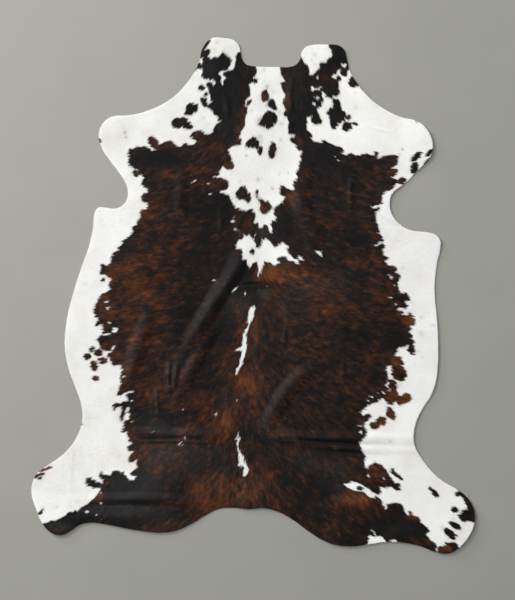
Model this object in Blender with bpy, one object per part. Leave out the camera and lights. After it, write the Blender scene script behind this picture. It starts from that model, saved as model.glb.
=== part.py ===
"""A cowhide rug: one whole hair-on hide, cut round the neck, legs and belly and laid out flat.

Metres, +Z up. The neck points to +Y, the rump to -Y and the spine runs along X = 0. The hair side
faces up and the flesh side rests on the floor at Z = 0. The hide is one sheet. It lies flat but for the
creases of its storage folds, a few soft rolls and the places where its rim stands off the floor.
"""

import bpy
import numpy as np
from mathutils import Vector
from mathutils.geometry import delaunay_2d_cdt

LENGTH = 2.30            # from the front of the neck lobes to the tip of the right hind leg
THICKNESS = 0.003        # leather with its short hair lying flat
TABLE_LENGTH = 230.0     # the length that the tables below are drawn to, in centimetres
CM = LENGTH / TABLE_LENGTH

RIM_STEP = 2.6 * CM      # distance between two points along the cut edge
OPEN_STEP = 6.4 * CM     # distance between two points where the hide lies flat
FOLD_STEP = 3.6 * CM     # distance between two points along a fold
CURVE_STEP = 0.5 * CM    # how finely the curves are walked before their points are picked
CLOSEST = 1.5 * CM       # no two points inside the hide are nearer than this
RIM_CLEAR = 1.7 * CM     # nor is any of them nearer to the cut edge
ACROSS = (-1.0, -0.55, 0.0, 0.55, 1.0)    # rows of points across a fold, as shares of its reach

# The cut edge in centimetres from the middle of the hide, clockwise from the left of the neck.
RIM = {
    "left neck lobe": (
        (-18.8, 114.6), (-13.0, 114.8), (-9.0, 114.0), (-6.5, 111.7), (-5.6, 108.2), (-4.9, 105.4),
    ),
    "neck cut": (
        (-3.2, 103.2), (0.4, 102.3), (5.5, 102.0), (11.0, 102.0), (16.2, 102.0), (19.2, 103.1), (20.9, 105.4),
    ),
    "right neck lobe": (
        (21.6, 108.4), (23.2, 110.7), (26.0, 111.7), (32.0, 111.9), (37.6, 111.6), (40.3, 109.9), (41.4, 106.8),
        (42.3, 103.0),
    ),
    "right neck side": (
        (43.6, 98.8), (46.2, 94.8), (48.9, 91.2), (52.6, 87.4), (57.2, 84.0), (62.0, 81.3), (66.8, 79.4),
    ),
    "right foreleg": (
        (71.2, 78.4), (74.8, 76.7), (77.4, 74.0), (79.2, 70.6), (79.9, 66.8), (79.2, 62.6), (76.9, 59.4),
        (73.2, 55.8), (69.0, 51.4), (65.2, 48.4),
    ),
    "right elbow bay": (
        (61.9, 45.6), (60.8, 41.4), (61.4, 37.2), (63.7, 33.4), (67.2, 30.4), (71.4, 28.9), (77.0, 28.3),
        (81.0, 27.2), (83.1, 25.0),
    ),
    "right belly edge": (
        (83.4, 21.6), (82.0, 15.2), (80.9, 6.6), (81.0, -1.4), (81.8, -10.0), (82.3, -20.0), (82.3, -30.0),
        (81.2, -38.8), (79.0, -44.8), (75.4, -50.4), (72.6, -56.2), (71.4, -62.2), (72.0, -67.0), (74.6, -72.0),
        (79.0, -77.8), (84.0, -82.4),
    ),
    "right hind foot": (
        (90.0, -85.9), (94.2, -88.8), (97.0, -92.4), (98.6, -96.8), (98.5, -100.6), (97.3, -104.8),
        (94.4, -109.4), (91.0, -112.8), (86.6, -114.9), (81.2, -114.2), (74.6, -111.7), (68.0, -110.2),
        (60.4, -109.6),
    ),
    "rump edge": (
        (51.6, -110.7), (44.4, -111.6), (36.6, -111.0), (30.4, -108.6), (24.4, -104.8), (17.6, -99.9),
        (11.0, -96.2), (4.4, -94.6), (-2.2, -95.1), (-9.4, -94.5), (-15.6, -95.2), (-21.4, -98.0),
        (-28.6, -102.2), (-35.4, -104.9), (-42.6, -105.5), (-52.6, -104.4), (-64.0, -102.2), (-71.4, -101.1),
        (-77.0, -101.9), (-81.6, -104.8),
    ),
    "left hind foot": (
        (-86.2, -106.6), (-90.4, -105.3), (-93.8, -101.6), (-96.6, -95.4), (-98.6, -89.4), (-98.5, -83.8),
        (-96.0, -78.8), (-91.2, -75.4), (-84.8, -70.8), (-80.2, -65.6),
    ),
    "left belly edge": (
        (-77.3, -60.0), (-76.1, -54.2), (-76.8, -48.0), (-79.2, -41.0), (-82.2, -32.8), (-83.8, -24.4),
        (-83.7, -16.2), (-82.0, -5.6), (-79.4, 3.8), (-76.4, 13.0), (-73.2, 22.0), (-71.4, 30.0),
        (-70.8, 36.4), (-69.2, 39.2),
    ),
    "left elbow bay": (
        (-66.0, 39.3), (-62.0, 38.8), (-58.6, 40.0), (-56.4, 42.6), (-55.8, 46.2), (-56.8, 50.2), (-60.0, 55.2),
        (-63.8, 60.2),
    ),
    "left foreleg": (
        (-67.0, 65.0), (-68.7, 70.2), (-68.0, 75.0), (-65.4, 78.4), (-61.6, 80.1), (-56.0, 80.4), (-49.0, 81.8),
        (-41.4, 84.9), (-34.8, 89.2), (-29.6, 94.8), (-25.8, 100.4), (-23.9, 105.0), (-22.7, 110.0),
    ),
}

# A fold: its crest's height and the reach to either side where it has died away, then the points that
# its crest runs through, all in centimetres. Every fold dies away over its first and last stretch too.
FOLDS = {
    "saddle roll": (1.0, 5.0, ((-5.0, 20.0), (-9.5, 9.0), (-17.0, -2.0), (-24.0, -14.0), (-31.5, -28.0))),
    "saddle roll, second": (0.7, 4.4, ((-16.0, -10.0), (-22.0, -22.0), (-28.0, -34.0), (-31.5, -43.0))),
    "near flank roll": (0.7, 4.2, ((-45.0, -3.0), (-49.0, -15.0), (-53.0, -27.0), (-59.5, -43.0))),
    "far flank roll": (1.0, 5.0, ((30.0, -31.0), (22.5, -35.0), (15.0, -43.0), (8.5, -54.0), (3.0, -62.0))),
    "far shoulder roll": (0.6, 5.5, ((23.0, 60.0), (21.5, 48.0), (22.5, 36.0), (27.0, 24.0), (24.0, 15.0))),
    "near shoulder roll": (0.5, 4.0, ((-33.0, 57.0), (-32.0, 46.0), (-32.5, 32.0))),
    "far rear fold": (1.2, 3.4, ((5.0, -63.0), (22.0, -63.1), (46.0, -63.6), (70.0, -64.2), (96.0, -65.0))),
    "far rear fold, second": (0.8, 2.6, ((9.0, -64.8), (28.0, -66.8), (48.0, -68.5), (70.0, -68.9), (96.0, -69.6))),
    "near rear fold": (0.6, 3.2, ((-58.0, -61.0), (-44.0, -61.4), (-30.0, -61.6), (-18.0, -62.4), (-8.0, -62.4))),
    "tail fold": (0.6, 3.2, ((-99.0, -92.0), (-80.0, -91.2), (-56.0, -90.6), (-34.0, -91.2), (-12.0, -92.2))),
}

# Where the hide stands off the floor: place, reach and height, in centimetres.
LIFTS = {
    "left hind foot": (-88.0, -106.0, 24.0, 1.1),
    "left of the rump": (-42.0, -108.0, 26.0, 0.8),
    "right of the rump": (42.0, -114.0, 28.0, 0.8),
    "right hind foot": (97.0, -106.0, 28.0, 1.2),
    "right belly": (86.0, -24.0, 26.0, 0.7),
    "right flank corner": (84.0, 27.0, 17.0, 0.7),
    "right foreleg": (81.0, 67.0, 22.0, 1.0),
    "right neck lobe": (35.0, 113.0, 15.0, 0.8),
    "left neck lobe": (-13.0, 116.0, 15.0, 0.8),
    "left foreleg": (-69.0, 76.0, 18.0, 0.7),
    "left belly": (-86.0, -20.0, 24.0, 0.5),
    "withers": (3.0, 74.0, 20.0, 0.4),
    "near loin": (-52.0, 14.0, 20.0, 0.4),
    "far loin": (52.0, 2.0, 22.0, 0.5),
    "near thigh": (-62.0, -72.0, 17.0, 0.4),
    "far thigh": (40.0, -90.0, 18.0, 0.4),
}

HAIR_COLOUR = (0.045, 0.030, 0.025, 1.0)
HAIR_ROUGHNESS = 0.75


def clear_scene():
    for old in list(bpy.data.objects):
        bpy.data.objects.remove(old, do_unlink=True)


def curve_through(points, closed):
    """A fine line along the centripetal Catmull-Rom curve through the points."""
    points = np.asarray(points, float) * CM
    if closed:
        padded = np.vstack([points[-1:], points, points[:2]])
    else:
        ends = 2 * points[[0, -1]] - points[[1, -2]]
        padded = np.vstack([ends[:1], points, ends[1:]])
    line = []
    for before, start, end, after in zip(padded, padded[1:], padded[2:], padded[3:]):
        spans = np.sqrt([np.linalg.norm(d) for d in (start - before, end - start, after - end)])
        leave = (start - before) / spans[0] - (end - before) / (spans[0] + spans[1]) + (end - start) / spans[1]
        reach = (end - start) / spans[1] - (after - start) / (spans[1] + spans[2]) + (after - end) / spans[2]
        leave, reach = leave * spans[1], reach * spans[1]
        count = max(2, round(np.linalg.norm(end - start) / CURVE_STEP))
        t = np.linspace(0.0, 1.0, count, endpoint=False)[:, None]
        line.append(
            (2 * t**3 - 3 * t**2 + 1) * start + (t**3 - 2 * t**2 + t) * leave
            + (3 * t**2 - 2 * t**3) * end + (t**3 - t**2) * reach
        )
    if not closed:
        line.append(points[-1:])
    return np.vstack(line)


def even_points(line, step, closed):
    """Points picked along the line at equal distances of about one step."""
    if closed:
        line = np.vstack([line, line[:1]])
    run = np.concatenate([[0.0], np.cumsum(np.linalg.norm(np.diff(line, axis=0), axis=1))])
    places = np.linspace(0.0, run[-1], max(2, round(run[-1] / step)) + 1)
    if closed:
        places = places[:-1]
    return np.stack([np.interp(places, run, line[:, axis]) for axis in (0, 1)], axis=1)


def rim_points():
    """The cut edge, with the middle of its box at the origin."""
    points = np.array([point for stretch in RIM.values() for point in stretch])
    line = curve_through(points, closed=True)
    line -= (line.min(axis=0) + line.max(axis=0)) / 2
    return even_points(line, RIM_STEP, closed=True)


def distance_along(points, line):
    """For each point, its distance to the line and how far along the line its nearest place is, 0 to 1."""
    start, run = line[:-1], np.diff(line, axis=0)
    lengths = np.linalg.norm(run, axis=1)
    before = np.concatenate([[0.0], np.cumsum(lengths)])
    offset = points[:, None, :] - start
    share = np.clip((offset * run).sum(axis=2) / lengths**2, 0.0, 1.0)
    gaps = np.linalg.norm(offset - share[..., None] * run, axis=2)
    nearest = gaps.argmin(axis=1)
    rows = np.arange(len(points))
    along = (before[nearest] + share[rows, nearest] * lengths[nearest]) / before[-1]
    return gaps[rows, nearest], along


def soft_bump(share):
    """1 in the middle, 0 from a share of 1 outwards, with no corner anywhere."""
    return np.clip(1.0 - share**2, 0.0, None) ** 2


def heights(points):
    """How far the flesh side stands off the floor."""
    height = np.zeros(len(points))
    for crest, reach, route in FOLDS.values():
        distance, along = distance_along(points, curve_through(route, closed=False))
        height += crest * CM * soft_bump(distance / (reach * CM)) * np.sqrt(soft_bump(2 * along - 1))
    for x, y, reach, crest in LIFTS.values():
        distance = np.linalg.norm(points - np.array((x, y)) * CM, axis=1)
        height += crest * CM * soft_bump(distance / (reach * CM))
    return height


def fold_points():
    """Rows of points along each fold, so that its crest and its feet are on the mesh."""
    rows = []
    for _, reach, route in FOLDS.values():
        places = even_points(curve_through(route, closed=False), FOLD_STEP, closed=False)
        run = np.gradient(places, axis=0)
        side = np.stack([-run[:, 1], run[:, 0]], axis=1) / np.linalg.norm(run, axis=1)[:, None]
        rows += [places + share * reach * CM * side for share in ACROSS]
    return np.vstack(rows)


def open_points(rim):
    """An even, staggered field of points over the whole hide."""
    low, high = rim.min(axis=0), rim.max(axis=0)
    field = []
    for row, y in enumerate(np.arange(low[1], high[1], OPEN_STEP * 0.866)):
        x = np.arange(low[0] + (row % 2) * OPEN_STEP / 2, high[0], OPEN_STEP)
        field.append(np.stack([x, np.full_like(x, y)], axis=1))
    return np.vstack(field)


def inside(points, rim):
    """Which points lie inside the cut edge, by counting the edges that a line to the right crosses."""
    x, y = points[:, :1], points[:, 1:]
    nexts = np.roll(rim, -1, axis=0)
    spans = (rim[:, 1] > y) != (nexts[:, 1] > y)
    rise = np.where(nexts[:, 1] == rim[:, 1], 1.0, nexts[:, 1] - rim[:, 1])
    cross = rim[:, 0] + (y - rim[:, 1]) * (nexts[:, 0] - rim[:, 0]) / rise
    return (spans & (x < cross)).sum(axis=1) % 2 == 1


def thinned(points, rim):
    """The points well inside the rim, taken in order, each kept only if it is clear of those before it."""
    gaps, _ = distance_along(points, np.vstack([rim, rim[:1]]))
    points = points[inside(points, rim) & (gaps > RIM_CLEAR)]
    kept = np.empty((0, 2))
    for point in points:
        if not len(kept) or np.linalg.norm(kept - point, axis=1).min() > CLOSEST:
            kept = np.vstack([kept, point])
    return kept


def field_clear_of(folds, rim):
    """The open field's points that leave the folds' own rows alone."""
    field = open_points(rim)
    gaps = np.linalg.norm(field[:, None, :] - folds, axis=2).min(axis=1)
    return field[gaps > OPEN_STEP * 0.55]


def build_hide():
    """The sheet: one layer of triangles above another, joined round the cut edge."""
    rim = rim_points()
    folds = thinned(fold_points(), rim)
    field = thinned(field_clear_of(folds, rim), rim)
    flat = [Vector(point) for point in np.vstack([rim, folds, field])]
    edges = [(i, (i + 1) % len(rim)) for i in range(len(rim))]
    points, _, faces, _, _, _ = delaunay_2d_cdt(flat, edges, [], 1, 1e-6)
    points = np.array([tuple(point) for point in points])
    count = len(points)
    under = np.column_stack([points, heights(points)])
    over = under + (0.0, 0.0, THICKNESS)
    sheet = [tuple(reversed(face)) for face in faces]
    sheet += [tuple(corner + count for corner in face) for face in faces]
    sheet += rim_walls(faces, count)
    mesh = bpy.data.meshes.new("cowhide")
    mesh.from_pydata(np.vstack([under, over]).tolist(), [], sheet)
    mesh.validate()
    hide = bpy.data.objects.new("cowhide", mesh)
    bpy.context.scene.collection.objects.link(hide)
    hide.data.materials.append(hair_material())
    mesh.shade_smooth()
    mesh.set_sharp_from_angle(angle=np.radians(50.0))
    return hide


def rim_walls(faces, count):
    """A quad under each outer edge, from the flesh side's point up to the hair side's."""
    walls = set()
    for a, b, c in faces:
        for start, end in ((a, b), (b, c), (c, a)):
            if (end, start) in walls:
                walls.remove((end, start))
            else:
                walls.add((start, end))
    return [(start, end, end + count, start + count) for start, end in sorted(walls)]


def hair_material():
    material = bpy.data.materials.new("hair")
    material.use_nodes = True
    surface = material.node_tree.nodes["Principled BSDF"]
    surface.inputs["Base Color"].default_value = HAIR_COLOUR
    surface.inputs["Roughness"].default_value = HAIR_ROUGHNESS
    surface.inputs["Metallic"].default_value = 0.0
    return material


clear_scene()
build_hide()
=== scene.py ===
# %% [markdown]
# # A cowhide rug, dressed
#
# The rug is one whole hide with its hair on. The imported model gives its size, its cut edge and its
# main folds. This script adds what the eye meets first: short glossy hair lying along the body,
# black and brindle brown patches on white, the soft rolls and storage creases, the pale cut edge and
# the tan flesh side below.
#
# A hide could be painted with one picture, but a picture would be flat up close. Here the markings
# are charted as outlines in centimetres, turned into maps with numpy, and carried by the
# skin and by some quarter of a million small hair blades that lie the way the coat grows.

import bpy
import numpy as np
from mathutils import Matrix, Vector
from mathutils.geometry import delaunay_2d_cdt


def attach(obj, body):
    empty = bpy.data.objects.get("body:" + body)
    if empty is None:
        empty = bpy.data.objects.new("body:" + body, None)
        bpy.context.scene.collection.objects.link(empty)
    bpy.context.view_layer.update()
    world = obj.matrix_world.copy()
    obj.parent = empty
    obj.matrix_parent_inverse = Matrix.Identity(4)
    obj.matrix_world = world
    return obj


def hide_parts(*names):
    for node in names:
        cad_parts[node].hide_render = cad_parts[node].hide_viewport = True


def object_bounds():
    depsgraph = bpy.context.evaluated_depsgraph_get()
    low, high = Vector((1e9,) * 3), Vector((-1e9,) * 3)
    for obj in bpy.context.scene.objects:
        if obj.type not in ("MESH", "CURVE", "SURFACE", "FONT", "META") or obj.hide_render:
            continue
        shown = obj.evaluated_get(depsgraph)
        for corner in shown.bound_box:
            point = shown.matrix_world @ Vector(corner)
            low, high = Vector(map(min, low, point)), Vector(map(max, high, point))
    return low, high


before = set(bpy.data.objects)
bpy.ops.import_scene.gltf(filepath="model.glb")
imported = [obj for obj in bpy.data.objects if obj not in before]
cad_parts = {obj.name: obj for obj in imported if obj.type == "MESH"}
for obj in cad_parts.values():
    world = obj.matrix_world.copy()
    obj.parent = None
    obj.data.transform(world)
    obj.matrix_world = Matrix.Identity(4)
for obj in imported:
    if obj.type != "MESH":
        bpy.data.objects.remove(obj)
cad_low, cad_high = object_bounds()
NODE = "cowhide"
BODY = "root"
TABLE_LENGTH = 230.0                               # the tables below are drawn to a hide this long, in cm
CM = (cad_high.y - cad_low.y) / TABLE_LENGTH       # one centimetre of the tables, in metres
MM = CM / 10
print(f"hide {cad_high.x - cad_low.x:.3f} m wide, {cad_high.y - cad_low.y:.3f} m long")

# %% [markdown]
# ## The camera
#
# A rug is photographed from straight above, so the camera hangs over it with the neck at the top of
# the picture. A far camera with a long lens keeps the legs from leaning outwards. Its lens follows
# from two lengths: how high it hangs, and how much floor the picture shows from top to bottom.

# %% Hang the camera over the rug
PICTURE_TALL = 600              # pixels
SHOWN_TALL = 267.7 * CM         # floor from the top to the bottom of the picture
SHOWN_CENTRE = (1.98 * CM, -1.98 * CM)
CAMERA_HIGH = 7.0

lens = bpy.data.cameras.new("camera")
lens.sensor_fit = "VERTICAL"
lens.sensor_height = 24.0
lens.lens = lens.sensor_height * CAMERA_HIGH / SHOWN_TALL
camera = bpy.data.objects.new("camera", lens)
camera.location = (*SHOWN_CENTRE, CAMERA_HIGH)
bpy.context.scene.collection.objects.link(camera)
bpy.context.scene.camera = camera
print(f"lens {lens.lens:.1f} mm, one pixel is {1000 * SHOWN_TALL / PICTURE_TALL:.2f} mm of rug")

# %% [markdown]
# ## The cut edge
#
# A hide is cut round the neck, the legs and the belly with a knife, which leaves long smooth curves.
# The edge is a centripetal Catmull-Rom curve through the points below, the same as the packed
# solid's, so that hair and collision end at the same line. The points run clockwise from the left of
# the neck, in centimetres from the middle of the hide.

# %% Points of the cut edge
RIM = {
    "left neck lobe": (
        (-18.8, 114.6), (-13, 114.8), (-9, 114), (-6.5, 111.7), (-5.6, 108.2), (-4.9, 105.4),
    ),
    "neck cut": (
        (-3.2, 103.2), (0.4, 102.3), (5.5, 102), (11, 102), (16.2, 102), (19.2, 103.1), (20.9, 105.4),
    ),
    "right neck lobe": (
        (21.6, 108.4), (23.2, 110.7), (26, 111.7), (32, 111.9), (37.6, 111.6), (40.3, 109.9), (41.4, 106.8),
        (42.3, 103),
    ),
    "right neck side": (
        (43.6, 98.8), (46.2, 94.8), (48.9, 91.2), (52.6, 87.4), (57.2, 84), (62, 81.3), (66.8, 79.4),
    ),
    "right foreleg": (
        (71.2, 78.4), (74.8, 76.7), (77.4, 74), (79.2, 70.6), (79.9, 66.8), (79.2, 62.6), (76.9, 59.4),
        (73.2, 55.8), (69, 51.4), (65.2, 48.4),
    ),
    "right elbow bay": (
        (61.9, 45.6), (60.8, 41.4), (61.4, 37.2), (63.7, 33.4), (67.2, 30.4), (71.4, 28.9), (77, 28.3),
        (81, 27.2), (83.1, 25),
    ),
    "right belly edge": (
        (83.4, 21.6), (82, 15.2), (80.9, 6.6), (81, -1.4), (81.8, -10), (82.3, -20), (82.3, -30),
        (81.2, -38.8), (79, -44.8), (75.4, -50.4), (72.6, -56.2), (71.4, -62.2), (72, -67), (74.6, -72),
        (79, -77.8), (84, -82.4),
    ),
    "right hind foot": (
        (90, -85.9), (94.2, -88.8), (97, -92.4), (98.6, -96.8), (98.5, -100.6), (97.3, -104.8),
        (94.4, -109.4), (91, -112.8), (86.6, -114.9), (81.2, -114.2), (74.6, -111.7), (68, -110.2),
        (60.4, -109.6),
    ),
    "rump edge": (
        (51.6, -110.7), (44.4, -111.6), (36.6, -111), (30.4, -108.6), (24.4, -104.8), (17.6, -99.9),
        (11, -96.2), (4.4, -94.6), (-2.2, -95.1), (-9.4, -94.5), (-15.6, -95.2), (-21.4, -98),
        (-28.6, -102.2), (-35.4, -104.9), (-42.6, -105.5), (-52.6, -104.4), (-64, -102.2), (-71.4, -101.1),
        (-77, -101.9), (-81.6, -104.8),
    ),
    "left hind foot": (
        (-86.2, -106.6), (-90.4, -105.3), (-93.8, -101.6), (-96.6, -95.4), (-98.6, -89.4), (-98.5, -83.8),
        (-96, -78.8), (-91.2, -75.4), (-84.8, -70.8), (-80.2, -65.6),
    ),
    "left belly edge": (
        (-77.3, -60), (-76.1, -54.2), (-76.8, -48), (-79.2, -41), (-82.2, -32.8), (-83.8, -24.4),
        (-83.7, -16.2), (-82, -5.6), (-79.4, 3.8), (-76.4, 13), (-73.2, 22), (-71.4, 30), (-70.8, 36.4),
        (-69.2, 39.2),
    ),
    "left elbow bay": (
        (-66, 39.3), (-62, 38.8), (-58.6, 40), (-56.4, 42.6), (-55.8, 46.2), (-56.8, 50.2), (-60, 55.2),
        (-63.8, 60.2),
    ),
    "left foreleg": (
        (-67, 65), (-68.7, 70.2), (-68, 75), (-65.4, 78.4), (-61.6, 80.1), (-56, 80.4), (-49, 81.8),
        (-41.4, 84.9), (-34.8, 89.2), (-29.6, 94.8), (-25.8, 100.4), (-23.9, 105), (-22.7, 110),
    ),
}
print(sum(len(stretch) for stretch in RIM.values()), "points on the cut edge")

# %% Walk the cut edge
CURVE_STEP = 5 * MM
RIM_STEP = 6 * MM


def curve_through(points, closed):
    """A fine line along the centripetal Catmull-Rom curve through points given in cm.

    Between two points the curve is a cubic whose end slopes come from the neighbours, each weighed
    by the square root of its distance.
    """
    points = np.asarray(points, float) * CM
    if closed:
        padded = np.vstack([points[-1:], points, points[:2]])
    else:
        ends = 2 * points[[0, -1]] - points[[1, -2]]
        padded = np.vstack([ends[:1], points, ends[1:]])
    line = []
    for before, start, end, after in zip(padded, padded[1:], padded[2:], padded[3:]):
        spans = np.sqrt([np.linalg.norm(d) for d in (start - before, end - start, after - end)])
        first, middle, last = spans
        across = (end - start) / middle
        leave = ((start - before) / first - (end - before) / (first + middle) + across) * middle
        reach = (across - (after - start) / (middle + last) + (after - end) / last) * middle
        count = max(2, round(np.linalg.norm(end - start) / CURVE_STEP))
        t = np.linspace(0.0, 1.0, count, endpoint=False)[:, None]
        line.append(
            (2 * t**3 - 3 * t**2 + 1) * start + (t**3 - 2 * t**2 + t) * leave
            + (3 * t**2 - 2 * t**3) * end + (t**3 - t**2) * reach
        )
    if not closed:
        line.append(points[-1:])
    return np.vstack(line)


def even_points(line, step):
    """Points picked along a closed line at equal distances of about one step."""
    line = np.vstack([line, line[:1]])
    run = np.concatenate([[0.0], np.cumsum(np.linalg.norm(np.diff(line, axis=0), axis=1))])
    places = np.linspace(0.0, run[-1], round(run[-1] / step) + 1)[:-1]
    return np.stack([np.interp(places, run, line[:, axis]) for axis in (0, 1)], axis=1)


cut_line = curve_through([point for stretch in RIM.values() for point in stretch], closed=True)
cut_line -= (cut_line.min(axis=0) + cut_line.max(axis=0)) / 2
rim = even_points(cut_line, RIM_STEP)
print(len(rim), "rim points, box", np.ptp(rim, axis=0).round(3))

# %% [markdown]
# ## One chart for everything
#
# The height of the sheet, the lie of the hair, the markings and the warmth of the brown all change
# over the hide. Each is held as a map on one grid of small square cells, as a chart for a woven rug
# would be. A shape is drawn on the chart by its winding: along each row, a cell is inside when the
# outlines to its left turn round it. Values between cells are read by bilinear interpolation.

# %% The chart's grid
CELL = 2 * MM
MARGIN = 12 * MM
chart_low = rim.min(axis=0) - MARGIN
COLUMNS, ROWS = np.ceil((np.ptp(rim, axis=0) + 2 * MARGIN) / CELL).astype(int)
cell_x = chart_low[0] + (np.arange(COLUMNS) + 0.5) * CELL
cell_y = chart_low[1] + (np.arange(ROWS) + 0.5) * CELL
cells = np.stack(np.meshgrid(cell_x, cell_y), axis=-1)


def read(chart, points):
    """The chart's value at each point, in proportion to its distance from the four cells round it."""
    place = (points - chart_low) / CELL - 0.5
    place = np.clip(place, 0, (COLUMNS - 1.001, ROWS - 1.001))
    low = place.astype(int)
    share = place - low
    if chart.ndim == 3:
        share = share[..., None]
        across, up = share[..., 0, :], share[..., 1, :]
    else:
        across, up = share[..., 0], share[..., 1]
    x, y = low[..., 0], low[..., 1]
    below = chart[y, x] * (1 - across) + chart[y, x + 1] * across
    above = chart[y + 1, x] * (1 - across) + chart[y + 1, x + 1] * across
    return below * (1 - up) + above * up


def filled(outlines):
    """Which cells lie inside any of the closed outlines, given in metres.

    Each outline is turned anticlockwise. Every edge that a row of cells crosses adds one to all the
    cells to its right if it goes up, and takes one away if it goes down. What isn't zero is inside.
    """
    turns = np.zeros((ROWS, COLUMNS + 1), np.int32)
    rows = np.arange(ROWS)
    for outline in outlines:
        x, y = ((np.asarray(outline) - chart_low) / CELL - 0.5).T
        if (x * np.roll(y, -1) - y * np.roll(x, -1)).sum() < 0:
            x, y = x[::-1], y[::-1]
        next_x, next_y = np.roll(x, -1), np.roll(y, -1)
        edge, row = np.nonzero((y[:, None] > rows) != (next_y[:, None] > rows))
        cross = x[edge] + (row - y[edge]) * (next_x[edge] - x[edge]) / (next_y[edge] - y[edge])
        column = np.clip(np.ceil(cross), 0, COLUMNS).astype(int)
        np.add.at(turns, (row, column), np.where(next_y[edge] > y[edge], -1, 1))
    return np.cumsum(turns, axis=1)[:, :COLUMNS] != 0


def blurred(chart, reach):
    """The chart averaged with a bell curve whose half width is the reach, along rows, then columns."""
    cells_wide = max(reach / CELL, 0.5)
    steps = np.arange(-int(3 * cells_wide) - 1, int(3 * cells_wide) + 2)
    bell = np.exp(-0.5 * (steps / cells_wide) ** 2)
    bell /= bell.sum()
    for axis in (0, 1):
        padding = [(0, 0), (0, 0)]
        padding[axis] = (len(steps) // 2, len(steps) // 2)
        padded = np.pad(chart, padding, mode="edge")
        size = chart.shape[axis]
        chart = sum(
            weight * np.take(padded, np.arange(start, start + size), axis=axis)
            for start, weight in enumerate(bell)
        )
    return chart


on_hide = filled([rim])
print(f"chart of {COLUMNS} x {ROWS} cells, {on_hide.sum() * CELL**2:.2f} m2 of hide")

# %% [markdown]
# ## Folds, creases and lifts
#
# A hide that was stored rolled or folded keeps its folds for weeks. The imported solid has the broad
# ones too. To them come narrow creases and grooves that only the light shows. A fold's section is a
# soft bump: one minus the square of the distance over the reach, squared again, so that it has no
# corner. Each fold dies away at both ends, and the rim stands a little off the floor in places.
#
# A row of the tables gives a crest's height, how far the fold reaches on each side of it, and the
# points that it runs through. A lift has its middle, its reach and its height.

# %% Folds and lifts, in cm
FOLDS = {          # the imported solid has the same, its near shoulder roll 1 mm higher
    "saddle roll": (1, 5, ((-5, 20), (-9.5, 9), (-17, -2), (-24, -14), (-31.5, -28))),
    "saddle roll, second": (0.7, 4.4, ((-16, -10), (-22, -22), (-28, -34), (-31.5, -43))),
    "near flank roll": (0.7, 4.2, ((-45, -3), (-49, -15), (-53, -27), (-59.5, -43))),
    "far flank roll": (1, 5, ((30, -31), (22.5, -35), (15, -43), (8.5, -54), (3, -62))),
    "far shoulder roll": (0.6, 5.5, ((23, 60), (21.5, 48), (22.5, 36), (27, 24), (24, 15))),
    "near shoulder roll": (0.4, 4, ((-33, 57), (-32, 46), (-32.5, 32))),
    "far rear fold": (1.2, 3.4, ((5, -63), (22, -63.1), (46, -63.6), (70, -64.2), (96, -65))),
    "far rear fold, second": (0.8, 2.6, ((9, -64.8), (28, -66.8), (48, -68.5), (70, -68.9), (96, -69.6))),
    "near rear fold": (0.6, 3.2, ((-58, -61), (-44, -61.4), (-30, -61.6), (-18, -62.4), (-8, -62.4))),
    "tail fold": (0.6, 3.2, ((-99, -92), (-80, -91.2), (-56, -90.6), (-34, -91.2), (-12, -92.2))),
}

LIFTS = {
    "left hind foot": (-88, -106, 24, 1.1),
    "left of the rump": (-42, -108, 26, 0.8),
    "right of the rump": (42, -114, 28, 0.8),
    "right hind foot": (97, -106, 28, 1.2),
    "right belly": (86, -24, 26, 0.7),
    "right flank corner": (84, 27, 17, 0.7),
    "right foreleg": (81, 67, 22, 1),
    "right neck lobe": (35, 113, 15, 0.8),
    "left neck lobe": (-13, 116, 15, 0.8),
    "left foreleg": (-69, 76, 18, 0.7),
    "left belly": (-86, -20, 24, 0.5),
    "withers": (3, 74, 20, 0.4),
    "near loin": (-52, 14, 20, 0.4),
    "far loin": (52, 2, 22, 0.5),
    "near thigh": (-62, -72, 17, 0.4),
    "far thigh": (40, -90, 18, 0.4),
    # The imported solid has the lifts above, and not the slight ones below
    "right bay": (64, 43, 13, 0.7),
    "right of the neck": (52, 92, 14, 0.5),
    "right stifle": (74, -60, 15, 0.6),
    "rump bay": (4, -97, 17, 0.7),
    "right belly, lower": (83, -42, 14, 0.4),
    "right belly, upper": (88, 2, 14, 0.5),
    "bottom left": (-64, -102, 14, 0.5),
    "bottom right": (66, -113, 14, 0.5),
}
print(len(FOLDS), "folds,", len(LIFTS), "lifts")

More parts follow.
